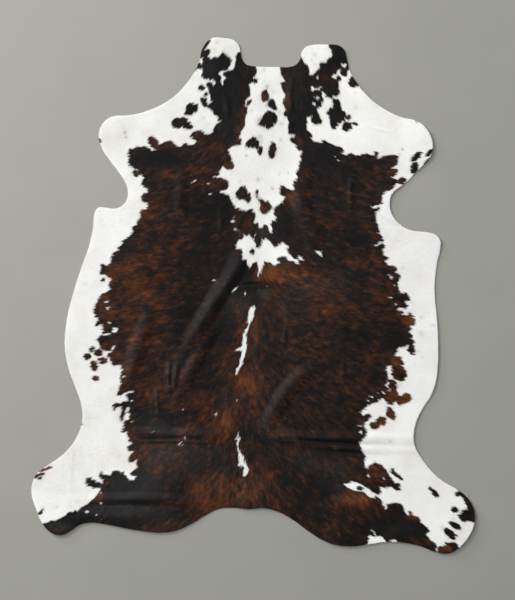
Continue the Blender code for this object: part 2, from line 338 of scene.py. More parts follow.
# %% Ends of the rolls, creases and grooves, in cm
CREASES = {
    "saddle roll, its end": (0.3, 3.6, ((-1, 26), (-8.5, 8), (-17.5, -4), (-27, -20), (-38, -38))),
    "near flank roll, its end": (0.25, 3, ((-42.5, 2), (-46, -14), (-51, -28), (-58, -44), (-61, -52))),
    "near twin crease": (0.6, 1.8, ((-37, -29), (-38, -36), (-37, -44))),
    "far twin crease": (0.55, 1.8, ((-34, -30), (-35, -38), (-36, -44))),
    "short flank crease": (0.38, 1.3, ((-43, -41), (-43, -47), (-42, -53))),
    "short flank crease, second": (0.34, 1.2, ((-45.2, -45), (-45, -49), (-44.5, -53))),
    "stifle arc": (
        0.3, 1.4, ((-46, -53), (-41, -53), (-38, -54.5), (-35.5, -57), (-32, -59.2), (-20, -60.5)),
    ),
    "near rear crease": (0.25, 1.2, ((-56, -65), (-45, -65), (-34, -64.8), (-22, -65.5), (-10, -65.5))),
    "left thigh crease": (0.12, 1.6, ((-81, -65), (-81.3, -78), (-81, -94))),
    "left foot ripple": (0.3, 1.3, ((-77, -94), (-77.4, -99), (-77.2, -104))),
    "left foot ripple, second": (0.25, 1.3, ((-68, -92), (-68.2, -97), (-68, -102))),
    "left foot ripple, third": (0.2, 1.2, ((-85.5, -99), (-85.8, -103), (-85.5, -107))),
    "spine ridge": (0.15, 2, ((1.5, -8), (1.6, -18), (1, -30))),
    "rump ridge": (0.15, 1.8, ((-3, -84), (-3.2, -89), (-3, -95))),
    "ribs, small": (0.24, 1.6, ((15.5, -10), (14.5, -16), (13, -24))),
    "loin, small": (0.22, 1.8, ((40, -28), (40.2, -35), (40, -42))),
    "cross groove": (-0.16, 0.9, ((-5, 4.8), (1, 5.5), (9, 5.2), (20, 4.2), (32, 3.4), (44, 1.8))),
    "cross swell": (0.4, 3, ((-9, 4.2), (0, 5.2), (8, 5.2), (17, 4.2))),
    "cross groove, deep": (-0.45, 0.9, ((-6, 4.6), (0, 5.4), (6, 5.3), (12, 4.8))),
    "far rear groove": (-0.5, 1.1, ((10, -63.4), (22, -64.4), (34, -65.2), (49, -65.8))),
    "far rear groove, second": (-0.35, 1, ((28, -68), (38, -69.3), (50, -70.4))),
    "shoulder crease": (0.26, 1.8, ((44.5, 55), (43.4, 46), (44, 35))),
    "collar crease": (0.2, 1.8, ((-15, 40), (-14.2, 32), (-16.2, 23))),
    "neck ridge": (0.26, 2.2, ((18.5, 100), (16.4, 90), (17.2, 80))),
    "neck ridge, near": (0.14, 1.8, ((-13, 90), (-11.6, 85), (-11.2, 78))),
    "elbow crease": (0.18, 1.4, ((56, 37), (61, 34.2), (65, 30))),
    "foreleg crease": (0.15, 1, ((47, 79), (52, 75.4), (57, 74), (62, 73.4), (67, 79))),
    "near foreleg crease": (0.12, 1.6, ((-61, 79), (-58, 73.5), (-55.5, 68))),
}
print(len(CREASES), "creases and grooves")

# %% Pressed and ruffled places, in cm
# Places that lie flatter than the folds through them: x, y, reach across, reach down, share taken off
PRESSED = (
    (-88, -92, 12, 6, 0.85), (-74, -92, 6, 6, 0.5), (64, -66.5, 10, 7, 0.74), (84, -67, 10, 7, 0.8),
)

# Places where the coat is ruffled and leans towards the upper left: x, y, reach across, reach down, lean
RUFFLED = (
    (-55, -84.5, 9, 4, 0.42), (-60, -95.5, 13, 2.2, 0.36), (-88, -103, 5, 1.5, 0.4),
    (-44, -57, 8, 3.5, 0.14), (-30, -60.5, 9, 1.2, 0.1), (-40, -73, 14, 8, 0.1), (24, -73, 9, 4, 0.08),
    (64, -104, 8, 3, 0.1), (-36, -102, 14, 3, 0.12), (-30, -64, 6, 3, 0.08), (-13, -4, 6, 10, 0.09),
    (-8, -84, 13, 8, 0.09), (46, -90, 8, 4, 0.08), (-3, -42, 6, 10, 0.06), (-43, -70.5, 8, 5, 0.14),
    (-20, -71, 10, 5, 0.07), (-38.3, -37, 0.8, 6, 0.24), (-35.4, -36, 0.8, 6, 0.2),
    (-43.6, -47, 1.6, 4, 0.2), (-31, -31, 3, 5, 0.1), (-55, -32, 1.2, 7, 0.14), (30, 4, 9, 3, 0.1),
    (19, -4, 6, 7, 0.07), (8, -58, 3.5, 4, 0.12), (-13, -45, 2, 8, 0.08), (17, 93, 3.5, 8, 0.12),
    (-20, 101, 3, 2, 0.15), (-8, 16, 3, 4, 0.12), (4, 28, 3, 3, 0.14), (12.5, 16, 2.5, 1.5, 0.15),
    (5, 1, 2.2, 1.8, 0.22), (-5, -3, 4, 4, 0.12), (2, -20, 1.2, 8, 0.1), (38, -76, 12, 4, 0.09),
    (38, -85, 5, 3, 0.08),
)
LEAN_TO = np.array((-0.85, 0.53))
print(len(PRESSED), "pressed places,", len(RUFFLED), "ruffled ones")

# %% Shape of a fold


def soft_bump(share):
    """1 in the middle, 0 from a share of 1 outwards, with no corner anywhere."""
    return np.clip(1.0 - share**2, 0.0, None) ** 2


def distance_along(points, line):
    """For each point, its distance to the line and how far along the line its nearest place is, 0 to 1."""
    start, run = line[:-1], np.diff(line, axis=0)
    lengths = np.linalg.norm(run, axis=1)
    before = np.concatenate([[0.0], np.cumsum(lengths)])
    offset = points[:, None, :] - start
    share = np.clip((offset * run).sum(axis=2) / lengths**2, 0.0, 1.0)
    gaps = np.linalg.norm(offset - share[..., None] * run, axis=2)
    nearest = gaps.argmin(axis=1)
    rows = np.arange(len(points))
    along = (before[nearest] + share[rows, nearest] * lengths[nearest]) / before[-1]
    return gaps[rows, nearest], along


def bell_at(x, y, across, down):
    """1 at a place given in cm, falling as a bell curve with its own reach across and down."""
    return np.exp(-0.5 * np.square((cells / CM - (x, y)) / (across, down)).sum(axis=2))


def add_fold(chart, crest, reach, route):
    """Adds crest x bump(distance / reach) x the root of a bump along its length, in cells near the route."""
    line = curve_through(route, closed=False)[::2]
    near = ((cells > line.min(axis=0) - reach * CM) & (cells < line.max(axis=0) + reach * CM)).all(axis=2)
    distance, along = distance_along(cells[near], line)
    chart[near] += crest * CM * soft_bump(distance / (reach * CM)) * np.sqrt(soft_bump(2 * along - 1))


print(f"half way down its side, a fold has {soft_bump(0.5):.2f} of its crest's height")

# %% Chart the height of the sheet
WAVE_HEIGHT = 0.35 * MM
WAVE_REACH = 22 * MM
WAVE_LIMIT = 1.5                   # the waves are cut off past this many times their spread

height = np.zeros((ROWS, COLUMNS))
for crest, reach, route in [*FOLDS.values(), *CREASES.values()]:
    add_fold(height, crest, reach, route)
for x, y, across, down, share in PRESSED:
    height *= 1.0 - share * bell_at(x, y, across, down)
for x, y, reach, crest in LIFTS.values():
    distance = np.linalg.norm(cells - np.array((x, y)) * CM, axis=2)
    height += crest * CM * soft_bump(distance / (reach * CM))
waves = blurred(np.random.default_rng(seed=23).standard_normal((ROWS, COLUMNS)), WAVE_REACH)
height += WAVE_HEIGHT * (WAVE_LIMIT + (waves / waves.std()).clip(-WAVE_LIMIT, WAVE_LIMIT))
height = height.clip(0.0, None)
ruffle = sum(lean * bell_at(x, y, across, down) for x, y, across, down, lean in RUFFLED)
print(f"the sheet stands {1000 * height[on_hide].max():.1f} mm high at most")

# %% [markdown]
# ## The lie of the hair
#
# On a cow the hair grows backwards along the spine and then falls down both flanks and legs. On the
# flat hide it therefore runs from the neck towards the tail along the middle and fans outwards to
# both sides, nearly level over the ribs and steeper over the rump. A short table gives its slant at
# some distances from the spine, the same on both sides.

# %% Slant of the hair, in degrees below a line straight out from the spine
OUTWARDS = (0.0, 8.0, 18.0, 34.0, 56.0, 84.0)        # distance from the spine, in cm
SLANT = {          # y in cm, then the slant at each of those distances
    -105.0: (90.0, 75.0, 55.0, 42.0, 35.0, 28.0),
    -72.0: (90.0, 72.0, 52.0, 38.0, 34.0, 28.0),
    -46.0: (90.0, 62.0, 40.0, 28.0, 22.0, 20.0),
    -20.0: (90.0, 48.0, 20.0, 13.0, 13.0, 13.0),
    10.0: (90.0, 44.0, 16.0, 9.0, 9.0, 10.0),
    40.0: (90.0, 52.0, 22.0, 11.0, 9.0, 9.0),
    62.0: (90.0, 76.0, 48.0, 26.0, 12.0, 6.0),
    85.0: (90.0, 86.0, 74.0, 58.0, 40.0, 25.0),
    112.0: (90.0, 88.0, 78.0, 66.0, 55.0, 45.0),
}
SPINE = ((-105, -3), (-60, -4), (-20, -1), (20, 2), (60, 5), (112, 7))
LIE_SOFTNESS = 20 * MM


def lie_of_hair():
    """The hair's direction in every cell, a unit arrow.

    The slant is read from the table, first between its rows and then between its columns. The arrow
    is (cosine, minus sine) of the slant, mirrored on the near side of the spine, and blurred.
    """
    spine_x = np.interp(cell_y / CM, *zip(*SPINE))
    aside = cell_x[None, :] / CM - spine_x[:, None]
    rows = np.array([np.interp(cell_y / CM, list(SLANT), column) for column in zip(*SLANT.values())])
    slant = np.empty_like(aside)
    for row, distances in enumerate(np.abs(aside)):
        slant[row] = np.interp(distances, OUTWARDS, rows[:, row])
    slant = np.radians(slant)
    arrows = [np.sign(aside) * np.cos(slant), -np.sin(slant)]
    arrows = np.stack([blurred(arrow, LIE_SOFTNESS) for arrow in arrows], axis=2)
    return arrows / np.linalg.norm(arrows, axis=2, keepdims=True)


lie = lie_of_hair()
print("hair directions charted from", len(SLANT) * len(OUTWARDS), "slants")

# %% [markdown]
# ## The markings
#
# The dark coat is one large patch over the back, flanks, neck and thighs, with a ragged edge where
# dark hair meets white hair. Its outline was charted in centimetres from the middle of the
# hide, down one side and down the other. White patches are then taken out of it, and spots are added
# on the white.

# %% Edge of the dark coat: left side, downwards
NEAR_EDGE = {
    "neck": (
        (-27, 99.2), (-25.4, 100.5), (-24.3, 101.4), (-23.5, 101.2), (-22.7, 100.3), (-22.2, 99.2),
        (-23.1, 98.3), (-22.9, 97.5), (-21.5, 96.5), (-20.1, 96.5), (-19.5, 95.9), (-18.2, 96.2),
        (-17.3, 95.3), (-16.6, 95), (-17.2, 93.9), (-17.7, 92.9), (-18.3, 94.2), (-19.2, 95), (-20.2, 95.1),
        (-20.9, 94.6), (-20.6, 93.6), (-20, 92.2), (-19.6, 90.6), (-18.9, 88.5), (-18.4, 86.3), (-19, 85.7),
        (-20, 85.2), (-20.2, 83.8), (-19, 83.4), (-18.3, 82.6), (-18, 81.3), (-17.4, 80.7), (-16.3, 80),
        (-15.3, 78), (-14.8, 77.2), (-16.2, 76.7), (-17.3, 75),
    ),
    "shoulder": (
        (-18, 73.5), (-18.6, 72.2), (-20.5, 71.7), (-22.2, 71.7), (-22, 73), (-23.5, 73.6), (-26, 73.4),
        (-28, 72), (-28.1, 70.4), (-26, 69.5), (-25.3, 68.8), (-26, 67.4), (-28, 67), (-30.3, 68),
        (-31.5, 67.6), (-32.6, 66), (-34.8, 67.3), (-35.8, 68.7), (-37, 69.2), (-39.5, 68.5), (-41.8, 67.2),
        (-42.3, 69), (-43.6, 70.3), (-45.5, 71), (-47, 70.2), (-46.8, 68), (-45.2, 65.9), (-44.2, 64.6),
        (-45.6, 64.7), (-47, 66), (-48.5, 66.7), (-50.5, 66.2), (-52, 66.8), (-53.5, 65.2), (-55.2, 65.6),
        (-56.4, 63), (-55.4, 60.8), (-56, 59), (-54.5, 56.8), (-53, 56.8), (-51, 55.5), (-50.5, 53.8),
        (-48.6, 52.4), (-50.1, 49.8), (-47.4, 47.4), (-47, 45.6),
    ),
    "elbow and ribs": (
        (-48.8, 45.8), (-50.1, 44), (-49.9, 42), (-47, 41), (-47, 39.4), (-48, 38.2), (-50, 38.4),
        (-50.8, 36), (-50.2, 35.2), (-52, 33), (-52, 31.6), (-53.5, 30.4), (-53.5, 28.8), (-55, 27.4),
        (-55.2, 26.3), (-57.5, 25), (-59, 24), (-58.5, 23), (-60.3, 21.5), (-60.3, 20.2), (-61.3, 19.5),
        (-63, 18.6), (-63.4, 17), (-63.6, 15), (-64.5, 13.9), (-65.5, 13.2), (-66.4, 13.9), (-67.4, 14.2),
        (-68.2, 13.2), (-67.8, 12), (-68.6, 10.8), (-68.4, 9), (-66.7, 9.5), (-65.5, 8.8), (-64.9, 8),
        (-63.6, 8), (-64.3, 5.5), (-64.2, 3.5), (-63.3, 2.6), (-64.2, 2), (-66.5, 1.2), (-68.8, -0.5),
    ),
    "belly": (
        (-69.6, -3), (-70.8, -4.5), (-71.6, -6.5), (-71.4, -8.3), (-70.8, -7.8), (-70.3, -9.9), (-69, -9.8),
        (-70, -11.8), (-70.6, -13.8), (-69.3, -13.6), (-67.9, -12.6), (-67.5, -13.6), (-66.6, -13.8),
        (-67, -15.3), (-67.6, -17.5), (-69.4, -19), (-69.5, -20.8), (-68.6, -21), (-68.4, -22.8),
        (-67.3, -24.2), (-66, -24.7), (-64.5, -24.8), (-63, -25), (-64.7, -25.9), (-65.3, -26.8),
        (-63.8, -28.3), (-63.6, -30), (-62.2, -31.8), (-60.8, -30.9), (-59.5, -31), (-58.8, -33),
        (-59.2, -36.5), (-59.3, -38), (-59, -39), (-60, -41.5), (-60.5, -44), (-61.3, -44.7),
        (-59.6, -44.6), (-58.9, -45), (-58, -43.6), (-57, -43.2), (-54, -42.6), (-53.6, -43.2),
        (-56.6, -43.8), (-56.8, -44.8), (-56, -45.5),
    ),
    "flank": (
        (-56.3, -47.3), (-58, -47.2), (-60, -48.4), (-61.5, -47.8), (-62.6, -48.8), (-62.7, -50.6),
        (-62.2, -51.6), (-61.3, -51), (-60.8, -49.9), (-59.4, -49.6), (-58.9, -50.8), (-59, -52.4),
        (-59.8, -54), (-59.6, -56.2), (-58.8, -56.6), (-58.3, -55), (-57.2, -53), (-56.6, -51),
        (-55.6, -49.4), (-55.3, -50.2), (-56, -52.2), (-55.2, -53), (-54.8, -54.2), (-55.6, -55.5),
        (-57.5, -55.8), (-57.8, -57.5), (-58.2, -59), (-59, -60.3), (-58.1, -61.3), (-56.9, -60.8),
        (-56, -62.5), (-55.5, -64.8), (-54.4, -65.2), (-54.6, -66.6), (-56.8, -67.6), (-55.6, -69.3),
        (-53.2, -69.4), (-54.8, -70.8), (-55.9, -73), (-54.9, -74.4), (-53.6, -74.2), (-52, -73.2),
    ),
    "thigh": (
        (-52.3, -75), (-51.6, -76.6), (-53, -77.8), (-55.1, -79.3), (-54.2, -80.6), (-52.2, -80.6),
        (-52.5, -82.2), (-54.5, -82.5), (-56.4, -81.2), (-58, -79.4), (-59.2, -78.4), (-61, -78),
        (-62.3, -78.2), (-63.2, -80.2), (-64.8, -80.3), (-66.6, -80), (-67, -79), (-67.8, -77.8),
        (-68.8, -80), (-68.5, -81.8), (-66.9, -82.6), (-66.8, -84), (-68.2, -83.9), (-68.5, -82.9),
        (-70, -83.4), (-70.6, -82.2), (-72, -82.3), (-72.2, -81.3), (-74, -81.2), (-74.8, -83),
        (-74.2, -84.9), (-72.4, -85), (-71, -86), (-69.4, -85.8), (-67.9, -85.8), (-68.8, -87.6),
        (-70, -89.2), (-71.4, -91), (-74, -93), (-75.6, -94), (-77, -94.6), (-78.2, -96.4), (-79.8, -95.4),
        (-80.2, -96.8), (-81.6, -96.4), (-83, -97.6), (-86, -99.2), (-88, -100.4), (-90, -100.2),
        (-91.6, -101.2), (-94.4, -101.5),
    ),
    "rump, outside the cut edge": (
        (-97, -101.6), (-96, -112), (-60, -113), (-20, -113), (30, -121), (60, -121), (81.6, -121),
    ),
}
print(sum(map(len, NEAR_EDGE.values())), "points down the left side")

# %% Edge of the dark coat: right side, downwards
FAR_EDGE = {
    "neck lobe": (
        (20.2, 107), (22, 105.8), (22.5, 105.2), (22.3, 104), (23.3, 103.3), (24, 103.2), (24.6, 102),
        (25.3, 100.8), (25.2, 99.8), (25, 98.6), (26, 98), (26.7, 98.5), (27.7, 99.7), (29, 100.8),
        (29.5, 102), (29.7, 103), (30.5, 103.9), (31.5, 104), (32.3, 103.3), (33, 104.7), (34, 105.6),
        (35, 106.2), (35.4, 107), (35, 108), (35.2, 109), (34, 110.2), (33.6, 111.3), (33.8, 114),
        (44, 114), (46, 104), (44.6, 100.2), (42.9, 100.9), (42.3, 100.3), (42.2, 99), (41.8, 97.8),
        (40.6, 97.5), (39.5, 98.2), (39.1, 99.7), (39.2, 100.7), (38.6, 101), (37.9, 100.8), (37.8, 99.8),
        (37.5, 98.7), (36.5, 98.5), (35.6, 98.2), (35, 97.6), (35.6, 97), (37.3, 96.3), (37.4, 97.4),
        (38, 98), (38.9, 97.8), (39.3, 96.8), (38.8, 95.8),
    ),
    "neck": (
        (38.3, 95), (38.5, 93), (38.8, 91), (38.7, 89.5), (37.6, 88.5), (36.5, 88.9), (35.8, 88.1),
        (34, 88), (32.5, 88.4), (31.9, 89.2), (32.1, 90), (31.4, 90.7), (30.6, 90.7), (30.2, 89.9),
        (30.3, 89), (31, 88.3), (31.6, 87.8), (31.5, 86), (31.2, 85.2), (30.3, 84.3), (29, 83.2),
        (28.4, 82.4), (29, 81.6), (29.5, 80.5), (30, 79.2), (30.8, 77.8), (30.6, 76.6), (29.5, 76),
        (27.5, 76.1), (26.5, 76.9), (25.8, 78), (25.6, 79.2), (26.8, 80.9), (25.2, 79.5), (23.8, 79.2),
        (23.9, 78.3), (24.5, 77.3), (24.1, 76), (23.8, 74.5), (24.2, 73.6), (25.5, 72.7),
    ),
    "shoulder": (
        (26.5, 71.5), (26, 70), (27.3, 68.2), (28.7, 68.5), (30.3, 68), (31.8, 69.4), (33.5, 68.2),
        (35.8, 67.3), (36.8, 66.7), (39.6, 66.2), (40.7, 64.5), (40.2, 62.8), (41.5, 62.5), (43.8, 63.5),
        (45.2, 62.9), (45.5, 62.1), (47.5, 62.3), (50.8, 63.5), (52.8, 62.4), (54.1, 62.8), (54.3, 64.2),
        (55.3, 64.1), (55.9, 62.5), (56.2, 60.4), (57, 61.8), (60.5, 62.6), (63, 62.7), (64.6, 62.3),
        (64.8, 60.8), (64.7, 58.6), (62.7, 56.9), (64.5, 56), (64.7, 54.6), (63, 53), (61.8, 52.6),
        (64.2, 51.8), (65.3, 51), (64, 50), (63.3, 48.3), (61.5, 46.8), (60, 46.6), (57.3, 44.3),
        (57.8, 42.5), (57.7, 41), (56, 40.2), (54, 40.2), (52.8, 38.8), (54.6, 38.9), (57, 39.6),
    ),
    "elbow and ribs": (
        (56.8, 38.5), (55.2, 37), (54.8, 35), (55.3, 33.6), (55.2, 32.5), (56.3, 30), (56.6, 28), (58, 26),
        (58.2, 24.6), (57.2, 23.8), (56.4, 24.3), (55.4, 22.8), (54, 22.4), (55.4, 21.9), (56.6, 22.8),
        (57.6, 23.6), (58.8, 22.9), (59.2, 21.6), (58.2, 20.5), (58, 19.8), (57.4, 18.8), (58.5, 17.8),
        (59.8, 17.2), (60, 16.3), (59.2, 15.2), (60, 14), (60.6, 13.4), (62.5, 13.5), (63.5, 12.8),
        (64.3, 11.5), (64.2, 10.4), (64.8, 9.9), (65.9, 9), (65.8, 7.8), (65, 6.8), (64.3, 6.6), (64.7, 5),
        (64.5, 4.1), (65, 2.5), (65.3, 1.5), (66.6, 0.7), (67, 1.6), (68.2, 1.3), (68.9, 0.4), (69.8, 0),
        (70, -1), (69.3, -2.4), (67.8, -2.4), (68.4, -3.4), (69, -4.4), (68.6, -5.4), (68.2, -6.4),
        (67.2, -5.6), (66, -5.4), (65, -5),
    ),
    "belly": (
        (65.3, -6.6), (66, -8.3), (67.4, -8.6), (68.5, -9.3), (69.1, -8), (69.8, -7.4), (70.7, -7.6),
        (71.2, -9), (72.2, -10.5), (72.3, -12.5), (71.8, -13.6), (70.5, -13.2), (70.4, -15), (70, -16.3),
        (70.9, -17.7), (71.2, -19), (71.8, -20.5), (71.5, -22), (72.6, -25), (72.2, -26.5), (70.9, -26.5),
        (70, -25.5), (69, -24.3), (69, -23.3), (68.2, -22.6), (67, -23.7), (66, -22.6), (64.8, -23.8),
        (64.6, -25.4), (63.4, -26.7), (64, -27.2), (66.2, -27.3), (66.7, -29), (66.8, -31.5), (68.2, -33.3),
        (68.8, -35), (68.5, -36.4), (67.5, -36.6), (67.7, -37.8), (66, -38.5), (63.8, -37.6), (62, -36),
        (61.6, -35), (62.4, -33), (61.5, -31.2), (60.3, -31.2), (59.4, -32.6), (60.2, -35.2), (60.4, -37),
    ),
    "flank": (
        (61.2, -37.4), (63.3, -37.8), (64.8, -40.5), (64.3, -42), (65, -44.6), (66.8, -44.8), (67.2, -43.6),
        (68.4, -43.4), (70.4, -44.4), (70.8, -46), (70, -47.4), (68, -48), (66, -49.3), (64.8, -48.8),
        (64.4, -47.4), (63.8, -46.8), (62.8, -48.4), (61.6, -48.9), (60, -48.4), (59, -46.6), (57.8, -45.6),
        (56.6, -46.6), (55.6, -47.8), (53.4, -48.2), (51.4, -49.4), (50, -50.2), (48.4, -51.6),
        (48.4, -52.8), (49.4, -54), (50.4, -52.8), (52.4, -52.8), (53, -54.2), (51.6, -55.4), (50, -56.2),
        (49.6, -58.4), (50.8, -60), (50.9, -61.8), (49.8, -63.6), (48.8, -63.2), (48, -65), (47.6, -67),
        (48.6, -69), (50, -71.2), (50.2, -72.8), (49.6, -74), (50, -76.8),
    ),
    "thigh": (
        (51.2, -77.6), (51.6, -76), (53.2, -75.4), (54.6, -74.2), (56, -75.2), (57.8, -75.4), (59, -77.6),
        (60.4, -79.6), (62.2, -82), (63.6, -83.8), (65.2, -83.6), (65.8, -85), (66.2, -87), (63.8, -87),
        (62.6, -85.8), (61, -85.2), (59.4, -86), (57, -85.4), (56.2, -85.4), (57.4, -87.4), (56.8, -89),
        (54.6, -88.4), (52.2, -86.8), (49.6, -84.8), (46.6, -83.4), (44, -82.9), (42.4, -83.9),
        (40.2, -83.8), (41.6, -85.2), (44.2, -86.7), (46.6, -87.2), (49, -87.4), (51, -89.2), (52.6, -90.3),
        (54.4, -90.2), (55, -89.2), (56.6, -90.6), (57.8, -92), (58.3, -94), (59, -95.6), (59.8, -95.4),
        (59.4, -93), (61.2, -92.8), (63.6, -92.4), (65.8, -92.9), (67.2, -94.4), (67.8, -96.4), (69, -98),
        (70, -98.8), (69.2, -96), (70.8, -96.4), (71.8, -98.4), (73.4, -98.4), (74.6, -99.6), (75, -101.4),
        (76.4, -102.5), (77.8, -103.3), (78.8, -104.8), (78.4, -105.6), (76.6, -106), (77.6, -107.2),
        (78.9, -108.8), (80.4, -109.9), (82.2, -111.9), (81.6, -113),
    ),
}
print(sum(map(len, FAR_EDGE.values())), "points down the right side")

# %% Edges of the white blaze between the two dark neck bands, from the poll to the back
NEAR_BLAZE_EDGE = (
    (0.8, 104), (1.3, 101.8), (1.8, 100.1), (1.2, 98.2), (0.2, 97), (2.2, 96.8), (1.8, 94.8), (0.6, 93.9),
    (-0.3, 95), (-1.4, 94.2), (-2.2, 94.6), (-1.6, 93), (-1.1, 91), (-1.4, 88.8), (-2.8, 87.8),
    (-3.8, 84.8), (-2.6, 83.6), (-2.5, 81.8), (-3.3, 79.8), (-3.8, 77.3), (-3.5, 75.6), (-5, 73.6),
    (-5.4, 72), (-6.3, 70.8), (-5.2, 69.5), (-5.2, 67.2), (-7.5, 67), (-9.3, 66.5), (-11.2, 64.8),
    (-10.4, 62.8), (-9.8, 61.3), (-9.4, 59.5), (-8.4, 57.8), (-9.3, 56.2), (-11, 55.9), (-12.2, 56.5),
    (-13, 57.8), (-14.8, 57), (-14.8, 55), (-15.4, 53.5), (-17, 52.9), (-18.8, 53.5), (-17.2, 52.4),
    (-14.5, 52.6), (-12.5, 51.8), (-11.2, 50.8), (-11, 48.8), (-12, 47), (-14, 46.7), (-15.2, 45.8),
    (-12, 45.2), (-10.3, 43.8), (-9.8, 41.5), (-8, 39.8), (-7.9, 38.7), (-6, 38.8), (-4.4, 37.8),
    (-2.8, 37.4), (-1.8, 38.4), (-0.3, 38.4), (0.8, 36.8), (1.2, 35), (0.4, 33), (0.5, 32.4), (2.2, 32.4),
    (2.3, 30.8), (2.8, 29.8), (4, 30.5), (5, 31.5), (6.5, 31.4), (7, 30), (7.4, 28), (8.6, 27.6),
)
FAR_BLAZE_EDGE = (
    (11.4, 104), (12.2, 100.2), (12.8, 98), (14.2, 95.6), (13, 94.9), (12.2, 94.6), (12.6, 92.6),
    (13.8, 90.4), (14.6, 88.6), (13.2, 87.6), (13.2, 85.2), (14.4, 83.6), (14.8, 82.2), (13.4, 81.6),
    (13.4, 80.4), (15.4, 79.3), (16, 76.8), (15.6, 75), (15.8, 72), (17, 71.3), (18.9, 71.7), (19.3, 71),
    (16.2, 70.2), (16.5, 68.8), (18.2, 67.6), (19.4, 67), (19.5, 65), (21.5, 64.1), (23.5, 64.3),
    (22.5, 63.8), (21.1, 62), (21.5, 60), (20.6, 59), (20.7, 57), (19.5, 55), (19.8, 52.5), (19.5, 51.4),
    (18, 51), (17.8, 49.5), (18.5, 48.2), (18, 47.2), (16.6, 46.9), (16.2, 47.4), (14.5, 48), (13.8, 49),
    (12, 48.6), (12.3, 47.5), (12, 46), (11.8, 45), (13.7, 44.2), (15, 44.5), (13.4, 42.3), (11.5, 40.2),
    (9.3, 38.8), (9.3, 36.5), (10.2, 35), (9.8, 33), (8, 31.6), (9, 29.8), (8.6, 28),
)
AROUND_NEAR_LOBE = ((-3, 106), (-4, 119), (-31, 119), (-29, 104))
print(len(NEAR_BLAZE_EDGE) + len(FAR_BLAZE_EDGE), "points round the blaze")

